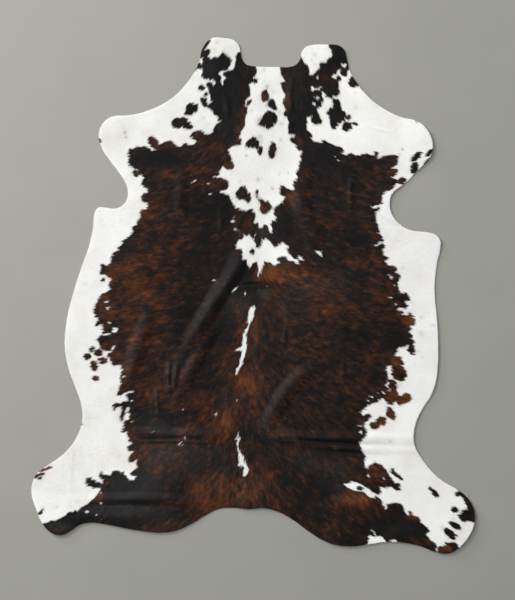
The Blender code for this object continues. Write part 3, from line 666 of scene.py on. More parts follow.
# %% White patches inside the dark coat
WHITE_PATCHES = {
    "top of the near lobe": (
        (-18.5, 118), (-18.9, 114.5), (-19.3, 112.7), (-20.2, 111.6), (-20.6, 110.5), (-21.2, 109.6),
        (-20.3, 109.5), (-19, 109.4), (-18.9, 108), (-19.8, 107.4), (-19.7, 106.3), (-19.2, 105.7),
        (-18.2, 105.6), (-17.7, 106.1), (-16.5, 106.1), (-15.5, 106.5), (-14.8, 106.8), (-14.4, 107.3),
        (-14, 108), (-13, 108.3), (-12.5, 107.8), (-12.6, 107.1), (-11.5, 107.3), (-11, 107),
        (-11.2, 106.3), (-9.9, 106), (-9.7, 105.2), (-9.8, 104), (-9.9, 102.7), (-10.7, 102), (-11, 101.3),
        (-11.7, 100.6), (-13, 100.3), (-14.2, 99.9), (-14.9, 99.4), (-15.8, 98.8), (-14.6, 98),
        (-14.1, 96.6), (-14.2, 95.6), (-15, 95.3), (-14.2, 94.7), (-13.6, 93.6), (-13.1, 94.5),
        (-13.3, 95.6), (-13.2, 96.3), (-11.7, 96.4), (-12.1, 97), (-12.9, 97.8), (-13.6, 98.6),
        (-13.3, 99.4), (-12, 99.9), (-10.3, 100.1), (-8.6, 101), (-8.1, 102.5), (-7.8, 104), (-7.5, 105.3),
        (-7.9, 106.5), (-7.2, 107.6), (-6.5, 108.4), (-4, 109), (-3, 118),
    ),
    "sliver of the near lobe": (
        (-23.7, 106.6), (-22.5, 105.6), (-22.3, 104.4), (-22.9, 102.8), (-23.8, 103.4), (-24, 104.6),
        (-23.2, 105.4),
    ),
    "bit of the far lobe": (
        (39.5, 103.5), (40.5, 102.8), (41.6, 103.4), (41.8, 102.2), (40.8, 101.6), (39.7, 102),
    ),
    "strip on the far neck": (
        (25.7, 91.2), (25.9, 93.4), (26.6, 93), (27.5, 92.4), (28.5, 92.6), (29.8, 92.3), (30.6, 93.2),
        (31.1, 93.2), (30.8, 92), (30, 91.4), (29, 91.8), (27.8, 91.7), (27, 91),
    ),
    "star on the back": (
        (-8.6, 25.6), (-6.6, 24.6), (-7.5, 22.9), (-7.1, 20.6), (-5.4, 20.7), (-4.9, 19.2), (-5.2, 18.1),
        (-4.7, 17.6), (-5.1, 16.2), (-3.5, 15.9), (-2.7, 14), (-2.7, 13.2), (-1.8, 12.9), (-1.4, 12.1),
        (-0.5, 13.6), (0, 14.7), (1.4, 14.9), (2.2, 13.7), (2.4, 12.5), (2.4, 10.5), (1.8, 8), (2.6, 8.7),
        (3.6, 10.5), (4, 12.2), (4.7, 13.7), (5.2, 15), (7.5, 14.8), (8.7, 13.6), (10, 13.2), (11.2, 14),
        (11.9, 14.8), (10.9, 15.4), (10.7, 16.6), (12, 17.3), (15.1, 17.4), (15.5, 15.7), (17.3, 15.6),
        (18.7, 15.1), (20.4, 13.3), (20.2, 15.1), (20.1, 15.8), (21.7, 15.8), (23, 15.8), (21.8, 16.6),
        (22.3, 17.8), (21.2, 17.1), (20.5, 18.3), (20.2, 16.4), (18.7, 16.2), (17.9, 16.7), (17.5, 17.5),
        (16.3, 18), (15.9, 18.6), (15.3, 19.8), (14.9, 21), (15.9, 22.2), (14.8, 22.7), (13.9, 22.7),
        (13.3, 24.2), (12.6, 22.7), (11.2, 22.5), (10.4, 21.5), (9.7, 21.3), (8.9, 22.2), (8.4, 23.2),
        (8.1, 23.2), (7.5, 24.2), (6.9, 24.2), (6.2, 25.3), (5.1, 24.4), (3.9, 25.1), (4.1, 23.2),
        (3.5, 21.5), (2.1, 21.1), (1.4, 21.8), (1.3, 23.2), (0.1, 24), (-0.2, 25.4), (-0.9, 25.9),
        (-1.5, 26.9), (-3, 26.5), (-4.6, 27.5), (-4, 26.1), (-4.4, 25.2), (-5.9, 24.9),
    ),
    "spine strip": (
        (0, -4), (0.9, -5.2), (1, -6.3), (0.2, -8), (0.1, -10.5), (-0.9, -12), (-1.8, -14.3), (-2.3, -15.6),
        (-3, -17.5), (-2.6, -22), (-3, -25), (-4, -28), (-5, -31), (-6.3, -33.3), (-7.4, -35.6),
        (-8.1, -35.4), (-7.6, -33), (-6.5, -31.5), (-5.9, -29), (-5.3, -26), (-5.8, -24.8), (-7.8, -24.8),
        (-9, -25.6), (-7, -23.6), (-5, -22.8), (-4.6, -20), (-4.1, -16), (-2.6, -14), (-2.3, -11), (-2, -7),
        (-1, -5.3),
    ),
    "croup strip": (
        (-7, -61), (-6.6, -61.4), (-6.5, -63.2), (-5.7, -64.4), (-6.4, -65.4), (-6.2, -68.6), (-5.4, -70.4),
        (-4, -72.4), (-3.4, -74.6), (-2.3, -75.6), (-2.2, -78.8), (-3, -80.4), (-3.8, -81.2), (-4.9, -80.2),
        (-4, -78.4), (-4.2, -76.8), (-5.4, -76.3), (-6.7, -75.6), (-6.4, -73.8), (-6.9, -72.4),
        (-6.6, -70.4), (-7.1, -67), (-7, -65.6), (-7.4, -63.6),
    ),
    "bottom of the far thigh": (
        (50.5, -113), (50.9, -110.4), (51.8, -108.4), (51.4, -107), (52.6, -106.7), (53.6, -107.6),
        (54.6, -107.3), (55.5, -107.5), (57, -107.2), (58, -107.8), (58.6, -109), (59.6, -109.8),
        (59.6, -113),
    ),
    "bottom of the far thigh, small": (
        (61.2, -112), (61.6, -109.3), (63.2, -108.6), (63.9, -108.9), (64.4, -112),
    ),
    "bit beside the star": (
        (27.1, 20.4), (28.8, 19.9), (30, 19.7), (31.6, 20.5), (30.6, 19.3), (30.4, 18), (31.2, 16.8),
        (29.9, 17.6), (28.9, 18.6),
    ),
    "hole in the near belly": ((-63.4, -15.8), (-62.2, -14), (-60.4, -14.6), (-61, -16.6), (-63, -16.6)),
    "far flank sliver": (
        (60.6, -37.4), (60.2, -38.6), (59.2, -39.4), (59.4, -40.6), (60.4, -42), (61, -43.2), (61.2, -42.2),
        (60.6, -40.8), (60.8, -39.4),
    ),
}
print(len(WHITE_PATCHES), "white patches")

# %% Small white bits as ovals: x, y, half length, half width, tilt in degrees
WHITE_OVALS = (
    (-64.1, -12, 0.6, 0.6, 0), (-9.2, 33, 0.7, 0.6, 0), (-8.6, 34.8, 0.5, 0.4, 20), (28.7, 88, 1, 0.5, 10),
    (27.4, 85.2, 0.6, 0.5, 0), (31.2, 85.7, 0.5, 0.4, 0), (6.4, 3.9, 0.25, 0.2, 0),
    (-3.8, 0.5, 1.3, 0.42, 78), (64.7, 60.5, 0.8, 0.3, 0), (63.2, 57, 1.2, 0.4, 10),
    (38.2, 60.2, 0.45, 0.35, 0), (36.8, 62, 0.4, 0.3, 0), (-17.2, 6.3, 1.6, 0.18, -38),
    (-30.4, -63.4, 1.4, 0.16, 62), (-32.6, -65.9, 1.4, 0.16, 50), (-33.4, -66.2, 0.9, 0.14, 30),
    (-31.7, -66.7, 1, 0.18, 48), (33.4, 18.4, 0.6, 0.15, -40), (-45.5, -61, 0.35, 0.2, 60),
    (-16.6, -53, 0.9, 0.42, 65), (-31, -51, 0.5, 0.16, 50), (62.9, 4.5, 0.5, 0.35, -60),
    (61, -1, 0.45, 0.4, -60), (63.2, -3.5, 1.6, 0.2, -38), (61.5, 8.1, 1.4, 0.45, -62),
    (57, 20, 0.4, 0.3, -40), (69.3, -22.3, 0.4, 0.5, 0), (66.3, -6.4, 0.9, 0.5, -50),
    (48, -61, 0.6, 0.7, 0), (51.4, -80.4, 0.8, 0.5, -60), (58.8, -81.6, 1.1, 0.3, -60),
    (57.5, -43, 1.5, 0.25, -38), (55.8, -43.5, 0.5, 0.2, -38), (53.2, -45.3, 0.6, 0.2, -30),
    (50.7, -46.6, 0.6, 0.2, -60), (47.6, -58.2, 0.8, 0.25, 0), (-57.9, -36.2, 0.8, 0.35, 30),
    (-54.2, -46.9, 1.2, 0.28, 25), (-54, -56.3, 0.3, 0.25, 30), (-74, -96.3, 0.9, 0.45, -10),
    (-68, -92.6, 0.45, 0.4, 0), (-67.6, -88, 0.35, 0.35, 0), (-70.3, -98, 0.5, 0.25, 40),
    (-68.3, -100.4, 0.9, 0.3, 50), (-67.8, -83.4, 0.7, 0.55, 0), (-8.4, 2.5, 2.1, 0.48, 40),
    (-26.2, 51, 1.5, 0.3, 30), (-22.8, 49.8, 0.4, 0.25, 0), (-20.3, 49.9, 0.6, 0.35, 0),
    (-19, 45.3, 0.4, 0.3, 0), (-7.6, 29.4, 1.5, 0.3, -30), (0.9, 26.9, 1, 0.2, 45),
    (-65.8, -2.9, 1.1, 0.4, 25), (-64.9, -5.6, 0.8, 0.35, 60), (-65.5, -17.3, 1.6, 0.4, 8),
    (-62.4, -23.4, 1.2, 0.5, 60), (54, -105.8, 1.5, 0.35, -55), (-44.6, 65.2, 0.9, 0.3, -50),
    (97.3, -98.8, 0.7, 0.3, -60), (26, 80, 1, 0.25, 50), (-7.1, -46.8, 0.9, 0.25, 65),
    (28.9, 96.8, 1.3, 0.25, 30),
)
print(len(WHITE_OVALS), "small white bits")

# %% Spots on the white
SPOTS = {
    "ring on the near neck": (
        (-29.6, 84.8), (-28.5, 85.7), (-26.9, 85.7), (-25.9, 84.7), (-25.2, 85.2), (-24.7, 84), (-24.9, 82),
        (-25.5, 81.5), (-26.3, 82.4), (-26.5, 81), (-27.6, 80.2), (-29.4, 80.4), (-30.6, 80.2),
        (-30.6, 81.2), (-29.8, 82.4),
    ),
    "long spot on the near neck": (
        (-23, 88.2), (-21.4, 88), (-20.6, 87), (-20.5, 85.6), (-19.4, 84.8), (-20.6, 83.8), (-22.2, 84.4),
        (-22.8, 86), (-23.2, 87.4),
    ),
    "slanting spot on the near neck": (
        (-32.2, 79.6), (-30.4, 79.2), (-29.4, 77.4), (-27.6, 76.4), (-26.8, 75.2), (-28.2, 74),
        (-30.4, 74.2), (-31.6, 75.6), (-32.6, 77.6),
    ),
    "chain on the far neck": (
        (35.4, 85.3), (35.5, 87), (36.2, 87.8), (37.5, 87.9), (38.4, 87.2), (38.8, 85.8), (39.4, 84.8),
        (39.5, 83.3), (40, 82.2), (41, 81.9), (41.6, 80.8), (41.5, 79), (41, 77.8), (40, 77.8), (38.9, 77),
        (38, 75.8), (37, 74.6), (35.8, 74), (35, 74.3), (34.7, 75.5), (34.3, 77), (34.2, 78.5),
        (33.7, 79.5), (34, 80.3), (32.6, 81), (33.2, 82.4), (34.3, 83), (35.8, 84),
    ),
    "edge spot on the far neck": (
        (42.9, 93.2), (42.6, 94.8), (43.3, 96.8), (44.6, 97.9), (47.4, 95.4), (47.4, 93.4), (46.3, 92.9),
        (45, 92.6),
    ),
    "crown spot": (
        (6.3, 85.6), (7, 87), (8.2, 88), (9.5, 86.8), (10.9, 83.3), (10.4, 82), (8.5, 83), (6.5, 84.3),
    ),
    "crown spot, lower": (
        (6.5, 82.6), (9.5, 81.6), (11, 79.6), (10.6, 76.6), (8.5, 75), (6.8, 74), (5, 75.2), (1.8, 75.8),
        (3.5, 77.8), (4.5, 80.3),
    ),
    "hook on the withers": (
        (-3.3, 66.6), (-2.8, 68.8), (-1.3, 69.6), (-0.3, 70.3), (1.2, 70.4), (2.3, 69), (2.6, 67),
        (3.7, 66.6), (4.3, 64.6), (3.7, 62.6), (3, 62.4), (2.2, 63.5), (1.8, 65.3), (0.2, 65.6),
        (-0.8, 66.3), (-2.2, 65.8),
    ),
    "drop on the withers": (
        (7, 61.5), (6.7, 63.5), (7.3, 66), (8, 68.2), (9.5, 68.3), (10.3, 66.5), (10.7, 64.2), (9.8, 61.7),
        (8.2, 61),
    ),
    "trefoil": (
        (-8, 45), (-6.9, 46.6), (-6.2, 48.2), (-4.7, 48.9), (-3.2, 48), (-2.7, 46.3), (-1.3, 45),
        (-0.7, 43.3), (-1.6, 41.2), (-3, 41.8), (-4.2, 43), (-5.6, 42.5), (-6.9, 43.2), (-7.5, 44.3),
    ),
    "brown patch on the blaze": (
        (2.3, 43.2), (4, 43.2), (5, 41.7), (7, 42.2), (7.5, 40.8), (8.5, 39.6), (7.5, 37.3), (5.2, 35.8),
        (3.8, 36.7), (2.8, 37.6), (3.1, 39.8),
    ),
    "far flank spot": (
        (59.9, -49.6), (61.8, -49.8), (62.6, -51.2), (63.8, -53.4), (63.4, -55.8), (61.6, -55.2),
        (59.9, -53.8), (59.6, -52.2), (59.3, -51.4), (60.2, -50.6),
    ),
    "far flank brown spot": (
        (52.2, -57.5), (53, -56.4), (54.6, -56.6), (55.2, -55), (57, -54), (59.4, -54.4), (59.4, -57),
        (58.8, -58.4), (57.4, -57.8), (56.2, -59.2), (54.2, -59.8), (52.6, -59.2),
    ),
    "far thigh streak": (
        (61.4, -77.6), (62.2, -76.6), (63.2, -78.6), (64.6, -79.4), (66, -80.6), (66.8, -82), (65.8, -82.4),
        (64.2, -81), (62.4, -79.9), (61.3, -78.8),
    ),
    "far foot streak": (
        (78.8, -84.9), (79.8, -86), (81.5, -87.2), (83.3, -89), (83, -90.2), (82.2, -89.6), (81.2, -90.4),
        (80, -88.6), (79.5, -87.2), (78.2, -86.3),
    ),
    "far foot edge": (
        (91.4, -87), (93.5, -87), (99, -92), (100.5, -97), (100, -101.4), (98, -101), (95.4, -100.4),
        (94.2, -101.2), (93.2, -100.8), (92.2, -99.6), (91, -97.8), (92, -97.2), (92.8, -96.4),
        (93.4, -95.4), (95.4, -95), (95.4, -93.6), (94.4, -91.6), (93, -89.6),
    ),
    "far foot spot": (
        (88.9, -93.8), (90.4, -94.2), (92, -95.2), (92.1, -96.4), (90.6, -96.6), (89.6, -97.2),
        (88.7, -96.2), (88.5, -95),
    ),
    "far foot, black spot": (
        (87.2, -101.4), (87.9, -100.3), (89.4, -100.8), (91.4, -101.8), (92.7, -103.2), (92.2, -104.4),
        (90.4, -104.2), (88.4, -102.8),
    ),
    "far foot, long spot": (
        (84.9, -104.6), (86, -103.2), (87.8, -104.2), (89.4, -105.6), (91.4, -106.9), (90, -107.6),
        (89.9, -109), (88, -108.4), (86, -106.8), (85.4, -105.8),
    ),
    "far foot tip": (
        (82, -117), (82.2, -112.6), (83.6, -111.7), (85.4, -111.4), (86.4, -110.8), (86, -110),
        (88, -109.9), (90, -109.9), (91.4, -111.4), (92.4, -113), (89, -117),
    ),
    "near thigh spot": (
        (-74.4, -81.6), (-72.6, -81.3), (-72.2, -83), (-72.6, -84.8), (-74.2, -85), (-74.8, -83.4),
    ),
}
print(len(SPOTS), "outlined spots")

# %% Small spots as ovals: x, y, half length, half width, tilt in degrees
SPOT_OVALS = (
    (-52.3, 54.4, 1.7, 1.2, -60), (-29.7, 76.7, 3.2, 1.3, -45), (-21.7, 86.2, 2.5, 1.2, -60),
    (-25.5, 83.4, 1.8, 0.8, 90), (-30.3, 80.9, 0.6, 0.6, 0), (12.9, 16.1, 1.9, 0.7, 5),
    (-67, 7, 1.1, 0.6, 60), (-71.9, -24, 1.5, 1, 60), (-69, -25.5, 1.8, 1.5, 0), (-74, -27.3, 1.4, 1.4, 0),
    (-67, -29, 1.9, 1.5, 0), (-71, -31.4, 2.3, 1.5, -75), (-70.2, -37, 1.5, 1.1, -20),
    (-68.6, 69, 1, 0.7, 90), (-91.6, -77, 1.6, 0.5, 28), (-94.2, -78, 1.3, 0.5, 24),
    (-94.6, -79.8, 1.8, 0.5, 20), (-96.8, -80.6, 1.2, 0.6, 50), (-95, -81.5, 0.9, 0.5, 20),
    (-94.9, -96.9, 1, 0.6, 20), (-94.3, -96, 0.9, 0.5, 55), (-23, 92.6, 1.5, 1.3, 0),
    (-20.9, 89.6, 0.7, 0.9, 0), (-33.8, 76.8, 2.5, 2.3, 0), (-1.9, 85.8, 1.3, 0.8, 60),
    (42, 75.1, 2.1, 2.1, 0), (42.8, 79.4, 1.3, 0.8, 80), (45.7, 76.5, 1.4, 0.5, -10),
    (72.7, 61.8, 2.9, 1.2, 40), (72, 56.9, 2.6, 1.6, 72), (78.6, 63.6, 2.2, 0.8, 44),
    (77.4, 59.6, 1.9, 0.6, 45), (66.6, 51.1, 1.6, 1.5, 0), (47.8, -86, 1.6, 0.75, -12),
    (91.2, -88.5, 1.3, 0.9, -15), (5.2, 89, 2.5, 1.7, 90), (66.6, -7.5, 0.8, 0.7, 0),
    (-0.3, 19.4, 1.4, 0.9, 90), (1.7, 45, 2, 0.5, -85), (40.6, 99.6, 2, 1.5, 90),
    (-76.4, -57.5, 0.5, 0.3, 0),
)
print(len(SPOT_OVALS), "oval spots")

# %% Grey breaths of dark hair in the white, where the skin shows through: x, y, reach, strength
BREATHS = (
    (-57.2, 72.7, 0.8, 0.8), (-56.8, 70.5, 0.6, 0.6), (-75.3, 5, 0.9, 0.25), (-22.4, 79.2, 1, 0.35),
    (66.6, 65.2, 0.7, 0.9), (65.3, 63, 0.7, 0.6), (73, 77.3, 0.7, 0.9), (75, -17, 1.4, 0.35),
    (61.3, -65, 0.9, 0.4), (67, 12.6, 0.8, 0.4), (6.3, 93, 1.2, 0.6), (12.6, 76.4, 0.9, 0.45),
    (5, 100.6, 0.8, 0.4), (12.4, 69.3, 0.8, 0.5), (11.7, 65.6, 0.5, 0.4), (-3, 62.2, 0.8, 0.6),
    (2.2, 51.6, 1, 0.55), (4, 51.9, 0.5, 0.4), (8.8, 47.6, 0.8, 0.6), (-5.8, 50.6, 0.6, 0.4),
    (15.7, 54.5, 0.6, 0.4), (11.8, 54.3, 0.6, 0.35), (3.4, 68.4, 1.1, 0.4), (11.6, 81.6, 1, 0.4),
    (3.6, 77.6, 2.4, 0.8), (6.4, 75.2, 1.6, 0.6), (3, 70.4, 1.4, 0.4), (7.2, 79.5, 1, 0.9),
    (6.2, 84.6, 1, 0.6), (-20.5, 101.5, 2, 0.7), (9, 90.6, 1, 0.2), (2.2, 77.6, 1.3, 0.5),
    (-0.9, 82.3, 0.8, 0.35), (-16.2, 112.8, 0.8, 0.3), (-16.8, 109.2, 0.9, 0.25), (-13.4, 109.2, 0.8, 0.25),
    (27.4, 107.2, 1.2, 0.3), (26.2, 105, 0.8, 0.35), (27.5, 103, 0.9, 0.2), (32, 83.6, 0.7, 0.35),
    (46, 83.8, 0.8, 0.3), (45.8, 90.2, 0.7, 0.25), (75, -9.8, 0.9, 0.35), (80.3, -13.3, 0.9, 0.35),
    (78.3, -7.8, 0.5, 0.25), (71.2, -3, 0.7, 0.25), (75.6, -27.3, 0.7, 0.25), (72, -30.5, 0.6, 0.2),
    (66.2, 10.6, 0.5, 0.25), (74, -24.8, 0.9, 0.25), (66, -40, 0.9, 0.15), (-63.4, -41.7, 0.7, 0.3),
    (-69.3, -61.5, 0.7, 0.15), (-60.5, -71.8, 0.7, 0.2), (-86.6, -87, 0.7, 0.15), (-74.2, -89.2, 0.7, 0.15),
    (-78.6, -92, 0.8, 0.2), (-81.4, -94, 0.6, 0.35), (-87.8, -94.3, 1, 0.25), (-93.8, -95, 1.3, 0.25),
    (84.4, -103.2, 1.2, 0.3), (92.6, -104.6, 1.4, 0.2), (89.5, -99.6, 1.6, 0.2), (79.5, -101.4, 0.6, 0.15),
    (-26.8, 97, 0.7, 0.2), (-30.6, 86.8, 0.6, 0.2), (-24.2, 77.6, 0.6, 0.2), (-19.6, 76.2, 0.8, 0.2),
    (-3.2, 65.2, 0.8, 0.3), (5, 95.4, 0.9, 0.3), (13.4, 76.3, 0.6, 0.3),
)
print(len(BREATHS), "grey breaths")

# %% [markdown]
# ### Drawing the markings
#
# Outlines drawn with a pencil are too clean for fur. Where hair of two colours meets, the upper
# hair's tips lie over the lower hair in small spikes, all pointing the way the hair lies. So each
# cell reads the drawn shape a little up or down the lie, as far as a fine noise says. The dark coat's
# own edge is scalloped as well: it bulges round scattered points about 13 mm apart.

# %% Outlines, lobes and noise
STEP = 3 * MM                      # of a walk along the hair
OVAL_TURNS = np.linspace(0.0, 2 * np.pi, 24, endpoint=False)
NO_LOBE = 9.0                      # further than any scattered point can be


def oval(x, y, half_length, half_width, tilt):
    """An ellipse as an outline: cosine along its length, sine across it, turned by the tilt."""
    along, across = half_length * np.cos(OVAL_TURNS), half_width * np.sin(OVAL_TURNS)
    turn = np.radians(tilt)
    return np.stack(
        [x + along * np.cos(turn) - across * np.sin(turn), y + along * np.sin(turn) + across * np.cos(turn)],
        axis=1,
    )


def dark_coat():
    """The big patch's outline: down the left side, up the right one, and in and out round the blaze."""
    down = [point for stretch in NEAR_EDGE.values() for point in stretch]
    up = [point for stretch in FAR_EDGE.values() for point in stretch][::-1]
    return np.array([*down, *up, *FAR_BLAZE_EDGE, *NEAR_BLAZE_EDGE[::-1], *AROUND_NEAR_LOBE]) * CM


def lobes(wide, seed):
    """How far each cell is from the nearest of many scattered points, over the width between them.

    The points are a grid's, each moved at random within its own square, so the nearest one is in the
    cell's square or in one of the eight round it.
    """
    place = (cells - chart_low) / wide
    square = place.astype(int)
    count = square.reshape(-1, 2).max(axis=0) + 3
    scatter = np.random.default_rng(seed).uniform(0.0, 1.0, (*count, 2))
    nearest = np.full(square.shape[:2], NO_LOBE)
    for step_x in (-1, 0, 1):
        for step_y in (-1, 0, 1):
            beside = square + (step_x, step_y)
            point = beside + scatter[beside[..., 0] + 1, beside[..., 1] + 1]
            nearest = np.minimum(nearest, np.linalg.norm(place - point, axis=2))
    return nearest


def smeared(chart, walk, lay):
    """The mean of the chart along a walk up and down the given directions from every cell."""
    total = chart.copy()
    count = 1
    for way in (STEP, -STEP):
        place = cells.copy()
        column, row = np.meshgrid(np.arange(COLUMNS), np.arange(ROWS))
        for _ in range(int(walk / STEP)):
            place = place + way * lay[row, column]
            column, row = np.moveaxis(((place - chart_low) / CELL).astype(int), 2, 0)
            column, row = column.clip(0, COLUMNS - 1), row.clip(0, ROWS - 1)
            total += chart[row, column]
            count += 1
    total /= count
    return (total - total.mean()) / total.std()


def scaled(outlines):
    return [np.asarray(outline) * CM for outline in outlines]


def noise(reach, seed):
    """Smooth random hills about one reach wide, with a mean of 0 and a spread of 1."""
    hills = blurred(np.random.default_rng(seed).standard_normal((ROWS, COLUMNS)), reach)
    return (hills - hills.mean()) / hills.std()


print("the dark coat's outline has", len(dark_coat()), "points")

# %% Draw them on the chart
SPIKE = 4.0 * MM                   # how far the noise pulls the border along the hair
SPIKE_NOISE, SPIKE_WALK = 1.5 * MM, 7 * MM
SPIKES_OUTWARDS = 0.8              # how much more the spikes point away from the spine than the hair does
HALO = 3.0 * MM                    # how far grey hair spreads round dark hair
HALO_GREY = 0.5
BREATH_CORE = 0.6                  # a breath's bell curve, as a share of its reach
LOBE_WIDE = 13 * MM
LOBE_DEPTH = 0.5
LOBE_MIDDLE = 0.42                 # this near a scattered point the edge neither bulges nor draws in
LOBE_SOFTNESS = 1.6 * MM
BORDER_SOFTNESS = 1.0 * MM
SPREAD = 0.12                      # cm, because the white hair round a small spot covers its rim

outwards = lie + np.stack([SPIKES_OUTWARDS * np.sign(lie[..., 0]), np.zeros((ROWS, COLUMNS))], axis=2)
outwards /= np.linalg.norm(outwards, axis=2, keepdims=True)
coat = blurred(filled([dark_coat()]).astype(float), LOBE_SOFTNESS)
drawn = coat + LOBE_DEPTH * (LOBE_MIDDLE - lobes(LOBE_WIDE, seed=9)) > 0.5
drawn &= ~filled(scaled([*WHITE_PATCHES.values(), *(oval(*row) for row in WHITE_OVALS)]))
wider_ovals = [oval(x, y, half + SPREAD, across + SPREAD, tilt) for x, y, half, across, tilt in SPOT_OVALS]
drawn |= filled(scaled([*SPOTS.values(), *wider_ovals]))
pull = SPIKE * smeared(noise(SPIKE_NOISE, seed=5), SPIKE_WALK, outwards)
dark = blurred(read(drawn.astype(float), cells + outwards * pull[..., None]), BORDER_SOFTNESS)
breath = HALO_GREY * np.clip(2 * blurred(drawn.astype(float), HALO), 0.0, 1.0)
for x, y, reach, strength in BREATHS:
    apart = np.square(cells / CM - (x, y)).sum(axis=2)
    breath = np.maximum(breath, strength * np.exp(-0.5 * apart / (BREATH_CORE * reach) ** 2))
print(f"dark hair covers {100 * dark[on_hide].mean():.0f} % of the hide")
